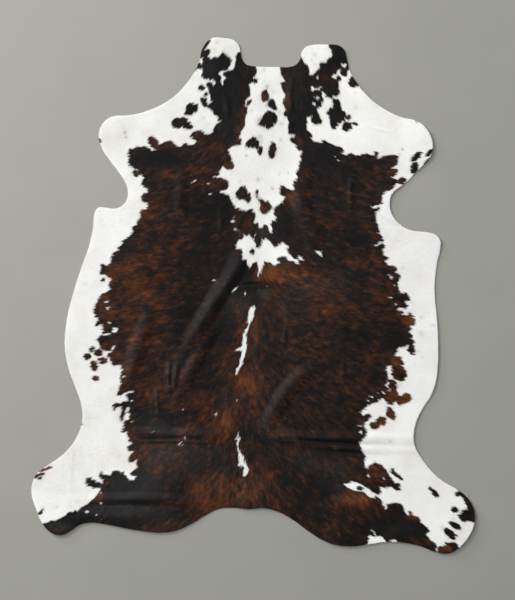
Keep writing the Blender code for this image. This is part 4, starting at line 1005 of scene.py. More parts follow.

# %% [markdown]
# ## The brindle
#
# The dark coat isn't one black. Streaks of brown run through it along the lie of the hair, strong
# over the flanks and rump and nearly absent on the neck. A streak is made by smearing noise along
# the hair: each cell takes the mean of the noise met on a short walk up and down the lie. The table
# says where the coat turns warm or black. A few of its black rows are painted shade along creases,
# and one warm row at the rump's rim is partly painted sheen.

# %% Warm and black places: x, y, reach across, reach down, strength from -1 (black) to 1 (orange brown)
WARMTH_AND_PAINTED_SHADE = (
    (-11, 58, 2.2, 2.5, 1.1), (-16, 49, 6, 3, 0.9), (-25, 72, 3, 1.8, 0.9), (-39, 67.5, 3.5, 2, 0.9),
    (-46, 69, 2, 2, 0.4), (-7, 73, 2.5, 3, 0.5), (-14, 67, 4, 2.5, 0.3), (-22, 64.5, 9, 2, 0.25),
    (-24, 56, 4, 3, 0.5), (-42, 54, 4, 3, 0.6), (-35, 53, 4, 3, 0.5), (-44, 47, 4, 3, 0.4),
    (-46, 41, 3.5, 2.5, 0.3), (-47, 36, 3.5, 2.5, 0.4), (-38, 27, 9, 6, 0.35), (-45, 17, 6, 5, 0.35),
    (-62, 14, 4, 3, 0.6), (-52, 6, 11, 7, 0.65), (-66, -2, 3.5, 2.5, 0.8), (-65, -8, 3.5, 2.5, 0.8),
    (-57, -8, 4, 3, 0.4), (-58, -17, 4, 3.5, 0.3), (-48, -20, 5, 4, 0.6), (-62, -27, 3.5, 3, 0.4),
    (-38, -30, 18, 20, 0.2), (-20, -48, 5, 4, 0.5), (-11.5, -55, 3, 5, 0.7), (-44, -43, 5, 4, 0.2),
    (-58.5, -40, 2.5, 5, 0.5), (-5, -38, 4.5, 5, 0.5), (-18, -66, 6, 2.5, 0.4), (-45, -78, 5, 3, 0.6),
    (-56, -59, 4, 3.5, 0.5), (-54.5, -72.5, 2, 2, 0.6), (-49, -70, 5, 4, 0.1), (-12, -86, 11, 7, 0.7),
    (6, -84, 7, 9, 0.4), (8, 10, 5, 3.5, 1.1), (-12, -57, 3, 5, 0.5), (-2, -40, 5, 6, 0.4),
    (17, 44, 2.8, 4, 1), (21, 67, 3, 3, 0.8), (31, 95, 5, 3, 0.35), (15, 87, 2, 3.5, 0.7),
    (62.5, 55, 3, 2, 0.2), (63, 61, 2.5, 2, 0.3), (18, 9, 12, 4.5, 0.95), (48, 29, 8, 3, 0.3),
    (57, 1, 4, 3, 0.4), (48, 9, 5, 4, -0.3), (36, -6, 16, 3, 0.35), (70.5, -10.5, 2.5, 3.5, 1.1),
    (64, -29, 3.5, 3, 1), (63, -45, 4, 3, 1), (68, -46, 3, 2.5, 0.7), (56, -57, 5, 3, 1.1),
    (2, -40, 4, 6, 0.5), (34, -30, 20, 20, 0.2), (55, -78.5, 4.5, 3, 0.7), (46.5, -90, 7, 3.5, 1.2),
    (10, -94, 4, 2.5, 0.5), (40, -107, 9, 4, 0.05), (55, -97, 4, 4, 0.1), (72, -98.5, 2.5, 2, 2.2),
    (85.5, -113, 3, 1.8, 1.4), (5.2, 89, 2.5, 3, 1), (5.6, 40.5, 3, 2.5, 0.35), (-2.4, 43.2, 1.6, 1.6, 0.8),
    (66.8, 51.3, 2, 2, 0.3), (-52.3, 54.6, 1.8, 2, 0.9), (-67, -29, 2, 1.8, 1), (-70.2, -37, 2, 1.8, 1.3),
    (-1.9, 85.8, 1.2, 1.5, 1), (62, -53, 2, 2.5, 0.5), (-92.5, -77.5, 2.5, 1.2, 1.6),
    (-96.5, -80.4, 1.5, 1.2, 1), (-69, -89, 2.5, 1.6, 0.9), (61.5, 13, 1.5, 1, 0.8), (-50, 63, 6, 4, -0.8),
    (-38, 63, 4, 3, -0.6), (-17, 41, 6, 6, -1.1), (-57, 20, 4, 3, -0.5), (-30, -5, 7, 6, -0.6),
    (-12, 90, 7, 14, -0.9), (24, 86, 8, 16, -0.7), (-14, 103, 9, 6, -0.9), (36, 105, 6, 6, -0.8),
    (15, 33, 4, 6, -0.8), (30, 63, 7, 4, -0.6), (48, 25, 5, 3, -0.7), (48, -18, 7, 4, -0.4),
    (66, -19, 5, 5, -0.9), (35, -25, 6, 5, -0.3), (30, -45, 6, 5, -0.4), (38, -57, 8, 5, -0.3),
    (20, -80, 8, 7, -0.5), (65, -104, 9, 6, -0.9), (-54, -85, 12, 5, -1), (-80, -99, 14, 4, -1),
    (-50, -98, 14, 4, -0.6), (-60, -51, 3, 5, -0.8), (90, -97, 8, 7, -1), (38, 82, 6, 7, -0.8),
    (-27, 82, 6, 8, -0.9), (56.5, -88, 4, 2.5, -0.8), (36, 45, 8, 10, -0.25), (-30, 36, 6, 6, -0.3),
    (0.5, 66, 7, 6, -0.6), (8, 80, 4, 6, -0.6), (-14, -5, 5, 11, -0.6), (-46, -57, 7, 3.5, -0.5),
    # (2, 5) and (11, 4.6) below are black lines of painted shade in the cross groove
    (-38, 57, 9, 6, -0.3), (2, 5, 5, 0.6, -1.5), (11, 4.6, 3, 0.5, -0.8), (-41, -71, 8, 5, 0.35),
    (-25, -86, 4.5, 3, 0.7), (-24, -92.5, 7, 1.5, 0.6), (-20, -53, 5, 3, 0.4), (-22, -74, 10, 5, -0.5),
    (-31, -55, 5, 2.5, -0.4), (-13, -46, 2.5, 5, -0.4), (-6, -56, 2.5, 6, -0.1), (-17, -84, 9, 4, 0.4),
    (8, -82, 5, 5, 0.25), (45, -91, 6, 2.5, 0.4), (-12, -52, 4, 5, 0.3), (-4, 92, 2, 2.5, 0.5),
    (-3.6, 82, 2, 3, 0.6), (-6, 75, 2, 2.5, 0.5), (-10, 74, 4, 2.5, 0.1), (0, 2, 5, 3, -0.8),
    (-19, -20, 5, 7, -0.5), (61.5, 50.5, 3, 1.5, -0.9), (74, 61, 5, 4, -0.8), (13, 16, 2, 1, -0.8),
    # (28, -64.9), (42, -65.5) and (42, -69.6) below are black lines of painted shade in the far rear fold's
    # creases
    (-25, 62, 3, 4, 0.3), (28, -64.9, 6, 0.7, -1.5), (42, -65.5, 6, 0.8, -1.8), (42, -69.6, 6, 0.6, -1.5),
    (-4.5, 10.5, 3.5, 3.5, -1.3), (7, 5.2, 4, 0.5, 1), (-5.5, -17, 2, 4, 0.9), (1, -16, 2.2, 5, 0.7),
    (-10, -27, 5, 3.5, 0.8), (-12, -34, 3, 2.5, 0.4), (34, -86, 4, 3, -1), (-20, -57, 4, 2.5, 0.6),
    (-20, -96, 4, 2.5, 0.7), (-28, 16, 5, 4, -0.7), (-12, 17, 3, 3, -0.6), (-44, -3, 5, 5, 0.5),
    # (-40, -103) below is partly the rump rim's own brown and partly painted sheen
    (28, 16, 4, 4, -0.5), (20, 15, 3, 2, 0.5), (24, -72, 8, 3, 0.3), (-40, -103, 10, 3, 0.4),
    (-28, -40, 5, 4, -0.5), (5, -28, 4, 5, -0.4), (-52, -32, 4, 4, 0.5), (-21, 62, 5, 3, -0.3),
    (-4, -56, 3, 4, 0.4), (-28, -24, 4, 4, -0.4), (52, -8, 5, 4, 0.4), (-36, -16, 4, 4, -0.4),
    (-20, -64, 4, 2, 0.3), (-32, 52, 6, 5, -0.25), (50, 52, 6, 4, -0.25),
)
print(len(WARMTH_AND_PAINTED_SHADE), "warm and black places")

# %% Smear noise along the hair and add the table's places
USUAL_WARMTH = 0.475               # of the coat where the table says nothing
PLACE_SHARE = 0.27                 # how much a strength of 1 in the table adds to it
STREAKS = {        # seed, width and walk in mm, and how much a spread of 1 adds to the warmth
    "streaks": (41, 4.5, 14, 0.062),
    "patches": (44, 9, 14, 0.04),
    "fine streaks": (42, 2.2, 8, 0.052),
}
BROAD_REACH = 35 * MM
BROAD_SHARE = 0.045

mottle = sum(
    share * smeared(noise(reach * MM, seed), walk * MM, lie) for seed, reach, walk, share in STREAKS.values()
)
mottle += BROAD_SHARE * noise(BROAD_REACH, seed=43)
place_warmth_and_painted_shade = np.zeros((ROWS, COLUMNS))
for x, y, across, down, strength in WARMTH_AND_PAINTED_SHADE:
    place_warmth_and_painted_shade += strength * bell_at(x, y, across, down)
warm = np.clip(USUAL_WARMTH + PLACE_SHARE * place_warmth_and_painted_shade + mottle, 0.0, 1.0)
print(f"warmth from {warm[on_hide].min():.2f} to {warm[on_hide].max():.2f}, mean {warm[on_hide].mean():.2f}")

# %% [markdown]
# ## Shared finish: the colour of the hair
#
# The skin under the hair and the blades above it must have one colour scheme, so a shader node
# group works it out from five numbers that the meshes carry: how dark the place is, how much grey
# breath it has, how warm its brown is, each hair's own tone, and how near its tip the point is. Fine
# noise in object space varies it further, so that no two hairs look alike. Towards its root a hair
# is darkened, as painted shade under the hairs that overlap it.

# %% Helpers for shader trees
NODE_GAP = (220, -200)             # how far apart nodes stand in the node editor


def feed(tree, node, inputs):
    """Sets a node's inputs, each to a value or to the socket that feeds it."""
    for title, given in inputs.items():
        if isinstance(given, bpy.types.NodeSocket):
            tree.links.new(given, node.inputs[title])
        else:
            node.inputs[title].default_value = given


def add_node(tree, kind, name, place, inputs=None, **settings):
    """Adds one node to a tree at a tidy place, with its plain settings, and feeds its inputs."""
    node = tree.nodes.new("ShaderNode" + kind)
    node.label = name
    node.location = (NODE_GAP[0] * place[0], NODE_GAP[1] * place[1])
    for setting, value in settings.items():
        setattr(node, setting, value)
    feed(tree, node, inputs or {})
    return node


def new_group(name, inputs, outputs):
    """An empty shader node group, its inputs with their usual values, and its input node."""
    group = bpy.data.node_groups.new(name, "ShaderNodeTree")
    for title, usual in inputs.items():
        kind = "NodeSocketFloat" if isinstance(usual, float) else "NodeSocketColor"
        group.interface.new_socket(title, in_out="INPUT", socket_type=kind).default_value = usual
    for title in outputs:
        kind = "NodeSocketColor" if title == "Color" else "NodeSocketFloat"
        group.interface.new_socket(title, in_out="OUTPUT", socket_type=kind)
    given = group.nodes.new("NodeGroupInput")
    return group, given.outputs


def put_out(group, place, results):
    """Adds a group's output node and links the results to it."""
    node = group.nodes.new("NodeGroupOutput")
    node.location = (NODE_GAP[0] * place, NODE_GAP[1])
    feed(group, node, results)


def ranged(tree, name, place, value, low, high, start=0.0, end=1.0, **settings):
    """A Map Range node: what goes in from start to end comes out from low to high."""
    inputs = {"Value": value, "From Min": start, "From Max": end, "To Min": low, "To Max": high}
    return add_node(tree, "MapRange", name, place, inputs, **settings).outputs["Result"]


def blended(tree, name, place, factor, first, second):
    """A Mix node for colours: the first at a factor of 0, the second at 1."""
    inputs = {"Factor": factor, "A": first, "B": second}
    return add_node(tree, "Mix", name, place, inputs, data_type="RGBA").outputs["Result"]


def speckled(tree, name, place, where, scale, **inputs):
    """Noise on the object's own coordinates."""
    inputs = {"Vector": where, "Scale": scale, **inputs}
    return add_node(tree, "TexNoise", name, place, inputs).outputs["Fac"]


def own_place(tree, place):
    return add_node(tree, "TexCoord", "place", place).outputs["Object"]


print("in the node editor, nodes stand", NODE_GAP, "apart")

# %% Build the hair colour group
WHITE_HAIR = (0.885, 0.88, 0.852, 1.0)
CREAM_HAIR = (0.80, 0.775, 0.715, 1.0)
GREY_SKIN = (0.30, 0.29, 0.28, 1.0)
PIGMENT = (        # warmth, then the colour of the dark hair there
    (0.00, (0.0035, 0.0035, 0.0040, 1.0)),
    (0.34, (0.0055, 0.0046, 0.0046, 1.0)),
    (0.50, (0.0165, 0.0085, 0.0058, 1.0)),
    (0.64, (0.0420, 0.0150, 0.0068, 1.0)),
    (0.80, (0.0880, 0.0260, 0.0080, 1.0)),
    (1.00, (0.1700, 0.0500, 0.0130, 1.0)),
)
HAIR_NUMBERS = {"Dark": 0.0, "Breath": 0.0, "Warm": 0.4, "Tone": 0.5, "Tip": 0.5}     # with usual values
TONE_SHARE = 0.22                  # how much warmer a hair of tone 1 is than one of tone 0
HAIR_FINENESS = 420.0              # of the noise that tells one hair from the next, in hills to a metre
CREAM_FINENESS = 9.0
CREAM_BETWEEN = (0.42, 0.85)       # the noise from which white hair turns cream, and where it is all cream
BORDER_BETWEEN = (0.3, 0.7)        # shares of dark hair that still look white, and that already look dark
# the root's lower brightness is painted shade under the hairs that overlap it
ROOT_SHADE_TO_TIP = (0.86, 1.06)         # brightness at the root and at the tip
FINEST_NOISE = (0.3, 0.7)          # about the least and the most of the noise from hair to hair
HAIR_CONTRAST = (0.92, 1.05)       # brightness there
HAIR_ROUGHNESS = (0.34, 0.46)


def hair_colour_group():
    group, given = new_group("Hair colour", HAIR_NUMBERS, ("Color", "Roughness"))
    where = own_place(group, (0, 2))
    hairs = speckled(group, "hair by hair", (1, 2), where, HAIR_FINENESS, Detail=3.0)
    clouds = speckled(group, "cream clouds", (1, 3), where, CREAM_FINENESS, Detail=4.0)

    inputs = {0: given["Tone"], 1: TONE_SHARE, 2: given["Warm"]}
    vary = add_node(group, "Math", "tone of this hair", (2, 1), inputs, operation="MULTIPLY_ADD")
    inputs = {0: vary.outputs[0], 1: TONE_SHARE / 2}
    settle = add_node(group, "Math", "less its mean", (3, 1), inputs, operation="SUBTRACT")
    brown = add_node(group, "ValToRGB", "pigment", (4, 1), {0: settle.outputs[0]})
    ramp = brown.color_ramp
    while len(ramp.elements) < len(PIGMENT):
        ramp.elements.new(0.5)
    for stop, (warmth, colour) in zip(ramp.elements, PIGMENT):
        stop.position = warmth
        stop.color = colour

    creamy = ranged(group, "cream share", (2, 3), clouds, 0.0, 1.0, *CREAM_BETWEEN)
    cream = blended(group, "white to cream", (4, 3), creamy, WHITE_HAIR, CREAM_HAIR)
    white = blended(group, "breath of grey", (5, 3), given["Breath"], cream, GREY_SKIN)
    sharp = ranged(
        group, "dark or white", (4, 0), given["Dark"], 0.0, 1.0, *BORDER_BETWEEN,
        interpolation_type="SMOOTHSTEP",
    )
    coat = blended(group, "coat", (6, 1), sharp, white, brown.outputs["Color"])

    # a hair darkens towards its root as painted shade
    tips = ranged(group, "painted shade at the root", (5, 0), given["Tip"], *ROOT_SHADE_TO_TIP)
    grain = ranged(group, "hair contrast", (5, 2), hairs, *HAIR_CONTRAST, *FINEST_NOISE)
    both = add_node(group, "Math", "both", (6, 0), {0: tips, 1: grain}, operation="MULTIPLY")
    inputs = {0: coat, "Scale": both.outputs[0]}
    shaded = add_node(group, "VectorMath", "shaded coat", (7, 1), inputs, operation="SCALE")
    gloss = ranged(group, "gloss", (6, 3), hairs, *HAIR_ROUGHNESS)
    put_out(group, 8, {"Color": shaded.outputs["Vector"], "Roughness": gloss})
    return group


hair_colour = hair_colour_group()
print("hair colour group:", len(hair_colour.nodes), "nodes")

# %% [markdown]
# ## Shared finish: leather
#
# Below the hair is leather. Its cut edge is pale and fibrous, and its flesh side is a tan suede with
# a short nap, darker clouds and a fine pebble. One group gives both, with a different pair of colours
# and a different scale for each.

# %% Build the leather group
EDGE_PALE = (0.62, 0.56, 0.47, 1.0)
EDGE_DARK = (0.40, 0.33, 0.26, 1.0)
SUEDE_PALE = (0.47, 0.36, 0.25, 1.0)
SUEDE_DARK = (0.30, 0.215, 0.14, 1.0)
CLOUDS_FINENESS = 6.0
FIBRE_SHARE = 0.5                  # how much the fibres' noise adds to the clouds'
NAP_CONTRAST = (0.5, 1.0)          # the sum at which the colour leaves pale, and at which it is dark
NAP_ROUGHNESS = (0.82, 0.97)


def leather_group():
    inputs = {"Pale": SUEDE_PALE, "Dark": SUEDE_DARK, "Fibre": 500.0}
    group, given = new_group("Leather nap", inputs, ("Color", "Roughness", "Height"))
    where = own_place(group, (0, 1))
    clouds = speckled(group, "clouds", (1, 1), where, CLOUDS_FINENESS, Detail=5.0)
    fibre = speckled(group, "fibres", (1, 2), where, given["Fibre"], Detail=4.0, Roughness=0.65)
    inputs = {0: fibre, 1: FIBRE_SHARE, 2: clouds}
    blend = add_node(group, "Math", "clouds and fibres", (2, 1), inputs, operation="MULTIPLY_ADD")
    contrast = ranged(group, "contrast", (3, 1), blend.outputs[0], 0.0, 1.0, *NAP_CONTRAST)
    colour = blended(group, "nap colour", (4, 1), contrast, given["Pale"], given["Dark"])
    rough = ranged(group, "nap roughness", (4, 2), fibre, *NAP_ROUGHNESS)
    put_out(group, 5, {"Color": colour, "Roughness": rough, "Height": fibre})
    return group


leather_nap = leather_group()
print("leather group:", len(leather_nap.nodes), "nodes")

# %% [markdown]
# ## The materials
#
# Hair is smooth and lies flat, so it has a soft gloss that follows the folds. Leather and suede are
# matt, with a slight sheen. The Principled shader stays in each material, and only colours, roughness
# and heights come from the groups.

# %% Make the materials
HAIR_REFLECTION = 0.11             # Specular IOR Level, kept low so that black hair stays black
ROOTS_FINENESS = 650.0
ROOTS_DEPTH = 0.4 * MM
ROOTS_STRENGTH = 0.6
LEATHER_SHEEN = 0.2


def new_material(name):
    """A material with its tree and its Principled shader."""
    material = bpy.data.materials.new(name)
    material.use_nodes = True
    return material, material.node_tree, material.node_tree.nodes["Principled BSDF"]


def relief(tree, place, height, depth, strength=1.0):
    inputs = {"Height": height, "Distance": depth, "Strength": strength}
    return add_node(tree, "Bump", "relief", place, inputs).outputs["Normal"]


def hair_material(name, bump):
    """Hair colour from the mesh's own numbers, with a soft gloss and, if asked, a fine bump."""
    material, tree, surface = new_material(name)
    colour = add_node(tree, "Group", "hair colour", (-1, 0), node_tree=hair_colour)
    for row, title in enumerate(HAIR_NUMBERS):
        number = add_node(tree, "Attribute", title.lower(), (-2, row), attribute_name=title.lower())
        feed(tree, colour, {title: number.outputs["Fac"]})
    feed(tree, surface, {"Base Color": colour.outputs["Color"], "Roughness": colour.outputs["Roughness"]})
    feed(tree, surface, {"Specular IOR Level": HAIR_REFLECTION})
    if bump:
        hairs = speckled(tree, "hair roots", (-2, 5), own_place(tree, (-3, 2)), ROOTS_FINENESS)
        feed(tree, surface, {"Normal": relief(tree, (-1, 2), hairs, ROOTS_DEPTH, ROOTS_STRENGTH)})
    return material


def leather_material(name, pale, dark_colour, fibre, depth):
    """Leather from a pale and a dark colour, how fine its fibres are and how deep."""
    material, tree, surface = new_material(name)
    nap = add_node(tree, "Group", "nap", (-2, 0), node_tree=leather_nap)
    feed(tree, nap, {"Pale": pale, "Dark": dark_colour, "Fibre": fibre})
    feed(tree, surface, {"Base Color": nap.outputs["Color"], "Roughness": nap.outputs["Roughness"]})
    feed(tree, surface, {"Normal": relief(tree, (-1, 1), nap.outputs["Height"], depth)})
    feed(tree, surface, {"Sheen Weight": LEATHER_SHEEN})
    return material


skin_material = hair_material("Hair roots on the skin", bump=True)
blade_material = hair_material("Hair", bump=False)
edge_material = leather_material("Cut edge", EDGE_PALE, EDGE_DARK, fibre=900.0, depth=0.3 * MM)
suede_material = leather_material(
    "Flesh side suede", SUEDE_PALE, SUEDE_DARK, fibre=420.0, depth=0.5 * MM
)
print("materials:", [m.name for m in bpy.data.materials])

# %% [markdown]
# ## The skin
#
# The skin is one closed sheet of leather, 2 mm thick: a fine upper face that carries the markings, a
# coarse lower face, and a wall round the cut edge that joins them. A square grid would leave a
# stepped rim, so both faces are Delaunay triangulations of the rim's points and a staggered field.
# The field is finer where dark hair meets white hair, because the colours are held at its points, and
# in narrow creases, where the sheet bends most.

# %% Points of the two faces
LEATHER = 2.0 * MM
OPEN_STEP = 8.0 * MM
EDGE_STEP = 3.6 * MM
UNDER_STEP = 16 * MM
BORDER = (0.12, 0.88)              # shares of dark hair between which the finer field is used
BEND = 0.1 * MM                    # and the bend of the sheet past which it is used
INSIDE = 0.84                      # what a blurred map of the hide reads a gap inside the cut edge
CONTRAST_REACH = 2.4 * MM
BEND_REACHES = (4 * MM, 2 * MM)    # the bend is the difference between the heights blurred this far
anticlockwise = (rim[:, 0] * np.roll(rim[:, 1], -1) - rim[:, 1] * np.roll(rim[:, 0], -1)).sum() > 0


def staggered(step):
    """Rows of points a step apart, every second row moved by half a step."""
    low, high = rim.min(axis=0), rim.max(axis=0)
    y = np.arange(low[1], high[1], step * np.sqrt(0.75))
    x = np.arange(low[0], high[0], step)
    field_x = x + np.where(np.arange(len(y)) % 2, step / 2, 0.0)[:, None]
    return np.stack([field_x, np.broadcast_to(y[:, None], field_x.shape)], axis=-1).reshape(-1, 2)


def well_inside(points, gap):
    """The points at least a gap from the cut edge, by a blurred map of the hide that is read at them."""
    shrunk = blurred(on_hide.astype(float), gap)
    return points[read(shrunk, points) > INSIDE]


def lowest(chart, reach):
    """The chart's least value within a reach on each side, so that a coarse face stays below a fine one."""
    wide = 2 * int(np.ceil(reach / CELL)) + 1
    for axis in (0, 1):
        padding = [(0, 0), (0, 0)]
        padding[axis] = (wide // 2, wide // 2)
        padded = np.pad(chart, padding, mode="edge")
        chart = np.lib.stride_tricks.sliding_window_view(padded, wide, axis=axis).min(axis=-1)
    return chart


contrast = blurred(dark, CONTRAST_REACH)
smooth, fine = (blurred(height, reach) for reach in BEND_REACHES)
near_edge = (contrast > BORDER[0]) & (contrast < BORDER[1]) | (np.abs(smooth - fine) > BEND)
open_field = well_inside(staggered(OPEN_STEP), OPEN_STEP / 2)
edge_field = well_inside(staggered(EDGE_STEP), EDGE_STEP)
open_field = open_field[read(near_edge.astype(float), open_field) < 0.5]
edge_field = edge_field[read(near_edge.astype(float), edge_field) >= 0.5]
top_points = np.vstack([rim, open_field, edge_field])
under_points = np.vstack([rim, well_inside(staggered(UNDER_STEP), UNDER_STEP / 2)])
print(len(top_points), "points above,", len(under_points), "below")

# %% Triangulate the two faces
INSIDE_ONLY = 1                    # Blender's number for keeping the triangles inside the edges given
NO_LENGTH = 1e-7                   # points nearer than this, in metres, are one
NO_AREA = 1e-12                    # twice a triangle's area, in square metres


def triangulated(points):
    """Triangles of the points inside the rim, which are the points that come first."""
    edges = [(i, (i + 1) % len(rim)) for i in range(len(rim))]
    spots = [Vector(point) for point in points.tolist()]
    found, _, faces, _, _, _ = delaunay_2d_cdt(spots, edges, [], INSIDE_ONLY, NO_LENGTH)
    faces = np.array(faces)
    assert len(found) == len(points)
    a, b, c = (points[faces[:, i]] for i in range(3))
    turn = (b[:, 0] - a[:, 0]) * (c[:, 1] - a[:, 1]) - (b[:, 1] - a[:, 1]) * (c[:, 0] - a[:, 0])
    faces[turn < 0] = faces[turn < 0][:, ::-1]
    return faces[np.abs(turn) > NO_AREA]


top_faces = triangulated(top_points)
under_faces = triangulated(under_points)[:, ::-1]
print(len(top_faces), "triangles above,", len(under_faces), "below")

# %% Arrays into a mesh, and a mesh into a piece of the rug


def mesh_from(name, points, faces):
    """A mesh from arrays: foreach_set fills points, corners and faces, which may have 3 or 4 corners."""
    mesh = bpy.data.meshes.new(name)
    corners = np.concatenate([f.ravel() for f in faces])
    counts = np.concatenate([np.full(len(f), f.shape[1]) for f in faces])
    mesh.vertices.add(len(points))
    mesh.vertices.foreach_set("co", points.astype(np.float32).ravel())
    mesh.loops.add(len(corners))
    mesh.loops.foreach_set("vertex_index", corners.astype(np.int32))
    mesh.polygons.add(len(counts))
    mesh.polygons.foreach_set("loop_start", (np.cumsum(counts) - counts).astype(np.int32))
    mesh.update(calc_edges=True)
    mesh.validate()
    return mesh


def set_values(mesh, name, values):
    mesh.attributes.new(name, "FLOAT", "POINT").data.foreach_set("value", values.astype(np.float32))


def set_map(mesh, spots):
    """A map for baking, from the spot of each corner, 0 to 1 both ways."""
    layer = mesh.uv_layers.new(name="OFBake")
    layer.uv.foreach_set("vector", spots.astype(np.float32).ravel())


def placed(name, mesh, *materials):
    """The object of a finished mesh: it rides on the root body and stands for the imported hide."""
    piece = bpy.data.objects.new(name, mesh)
    bpy.context.scene.collection.objects.link(piece)
    for material in materials:
        mesh.materials.append(material)
    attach(piece, BODY)
    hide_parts(NODE)
    return piece


MARKINGS = {"dark": dark, "breath": breath, "warm": warm}
print("pieces ride on", BODY, "and carry", [*MARKINGS])

# %% Build the skin
TOP_SCALE = 0.415                  # the upper face on its map: shares of the map to a metre
UNDER_SCALE = 0.075
WALL_BAND = 4 * MM
MAP_MARGIN = 0.008
SHARP_CORNER = np.radians(50.0)


def skin_map(wall):
    """The skin's map: the upper face as seen from above, the wall as a band round it, the lower face aside.

    A spot is its place less the hide's lowest corner, times a scale, plus a margin.
    """
    low = rim.min(axis=0)
    ahead = np.roll(rim, -1, axis=0) - np.roll(rim, 1, axis=0)
    outward = np.stack([ahead[:, 1], -ahead[:, 0]], axis=1) / np.linalg.norm(ahead, axis=1, keepdims=True)
    if not anticlockwise:
        outward = -outward
    around = np.vstack([rim, rim + outward * WALL_BAND])
    upper = (top_points - low) * TOP_SCALE + MAP_MARGIN
    aside = 1.0 - MAP_MARGIN - UNDER_SCALE * np.ptp(rim[:, 0])
    lower = (under_points - low) * UNDER_SCALE + (aside, MAP_MARGIN)
    band = (around - low) * TOP_SCALE + MAP_MARGIN
    return np.vstack([upper[top_faces.ravel()], lower[under_faces.ravel()], band[wall.ravel()]])


def build_skin():
    """One closed mesh of the upper face, the lower face and the wall between them.

    The upper face is at the sheet's height plus the leather, and the lower one at the least height near
    by. The skin's tone is middling, and it is as dark as a hair is at its root, painted shade included.
    """
    around = np.arange(len(rim))
    after = np.roll(around, -1)
    count = len(top_points)
    wall = np.stack([around, after, after + len(rim), around + len(rim)], axis=1)
    if anticlockwise:
        wall = wall[:, ::-1]
    lower_wall = np.where(wall < len(rim), wall, wall - len(rim) + count)
    over = np.column_stack([top_points, read(height, top_points) + LEATHER])
    under = np.column_stack([under_points, read(lowest(height, UNDER_STEP / 2), under_points)])
    mesh = mesh_from("skin", np.vstack([over, under]), [top_faces, under_faces + count, lower_wall])
    set_map(mesh, skin_map(wall))
    finish = np.concatenate([np.zeros(len(top_faces)), np.full(len(under_faces), 2), np.ones(len(wall))])
    mesh.polygons.foreach_set("material_index", finish.astype(np.int32))
    everywhere = np.vstack([top_points, under_points])
    for name, chart in MARKINGS.items():
        set_values(mesh, name, read(chart, everywhere))
    # a tip of 0 gives the skin a hair root's painted shade
    for name, value in (("tone", 0.5), ("tip", 0.0)):
        set_values(mesh, name, np.full(len(everywhere), value))
    mesh.shade_smooth()
    mesh.set_sharp_from_angle(angle=SHARP_CORNER)
    return mesh


skin = placed("hide_skin", build_skin(), skin_material, edge_material, suede_material)
print("skin:", len(skin.data.polygons), "faces")

# %% [markdown]
# ## The hair
#
# A cow's hair is 10 to 20 mm long and lies nearly flat. Real strands would be millions, so a blade
# stands for a small lock: a narrow leaf of three triangles, wide at the root and pointed at the tip,
# that rises a little above the next lock's root, as roof tiles do. Each blade takes its colour from
# the markings a little past its middle, so that the spiky border between two colours makes itself.

# %% Shape of one blade
BLADE_STEP = 3.75 * MM
BLADE_LONG = 13 * MM
BLADE_WIDE = 2.2 * MM
TURN_SPREAD = np.radians(9.0)
SIZE_SPREAD = (0.75, 1.2)          # the least and the most of a blade's usual length and width
ROLL_SPREAD = 0.1                  # how much a blade is tipped to one side
CORNERS = ((0, -1), (0, 1), (1, 1), (1, -1), (2, 0))   # row from root to tip, and right or left
TIP_ROW = 2
NARROWING = (1.0, 0.8, 0.0)        # share of the width at root, middle and tip
RISE = (0.2, 0.9, 1.4)             # height of root, middle and tip above the skin, in mm
RISE_SPREAD = (0.8, 1.2)
FULL_RISE_FROM = 0.75              # a blade with less than this share of the usual length rises less
SHORTENED = 0.55                   # what a blade keeps of its length where it would pass the cut edge
COLOUR_PLACE = 0.6                 # how far along the blade its colour is read
BACK_LEAN = 0.05                   # how far the coat's shading leans against the lie
LEAN_SPREAD = 0.035                # and how much it differs from hair to hair
SIDE_LEAN = 0.08                   # and across one blade, so that each looks round
SLOPE_SHARE = 0.72                 # how much of the sheet's slope the coat's shading follows
GATHERED = 0.25                    # a blade's size on its map, so that no two of them overlap there
print(f"a blade is about {BLADE_LONG / MM:.0f} mm long and {BLADE_WIDE / MM:.1f} mm wide")

# %% Where the blades stand, and how each one lies
SLOPE_REACH = 2 * MM


def blade_roots():
    """Staggered roots, each moved at random by up to half a step."""
    roots = staggered(BLADE_STEP)
    roots = roots + np.random.default_rng(seed=71).uniform(-0.5, 0.5, roots.shape) * BLADE_STEP
    return roots[read(on_hide.astype(float), roots) > 0.5]


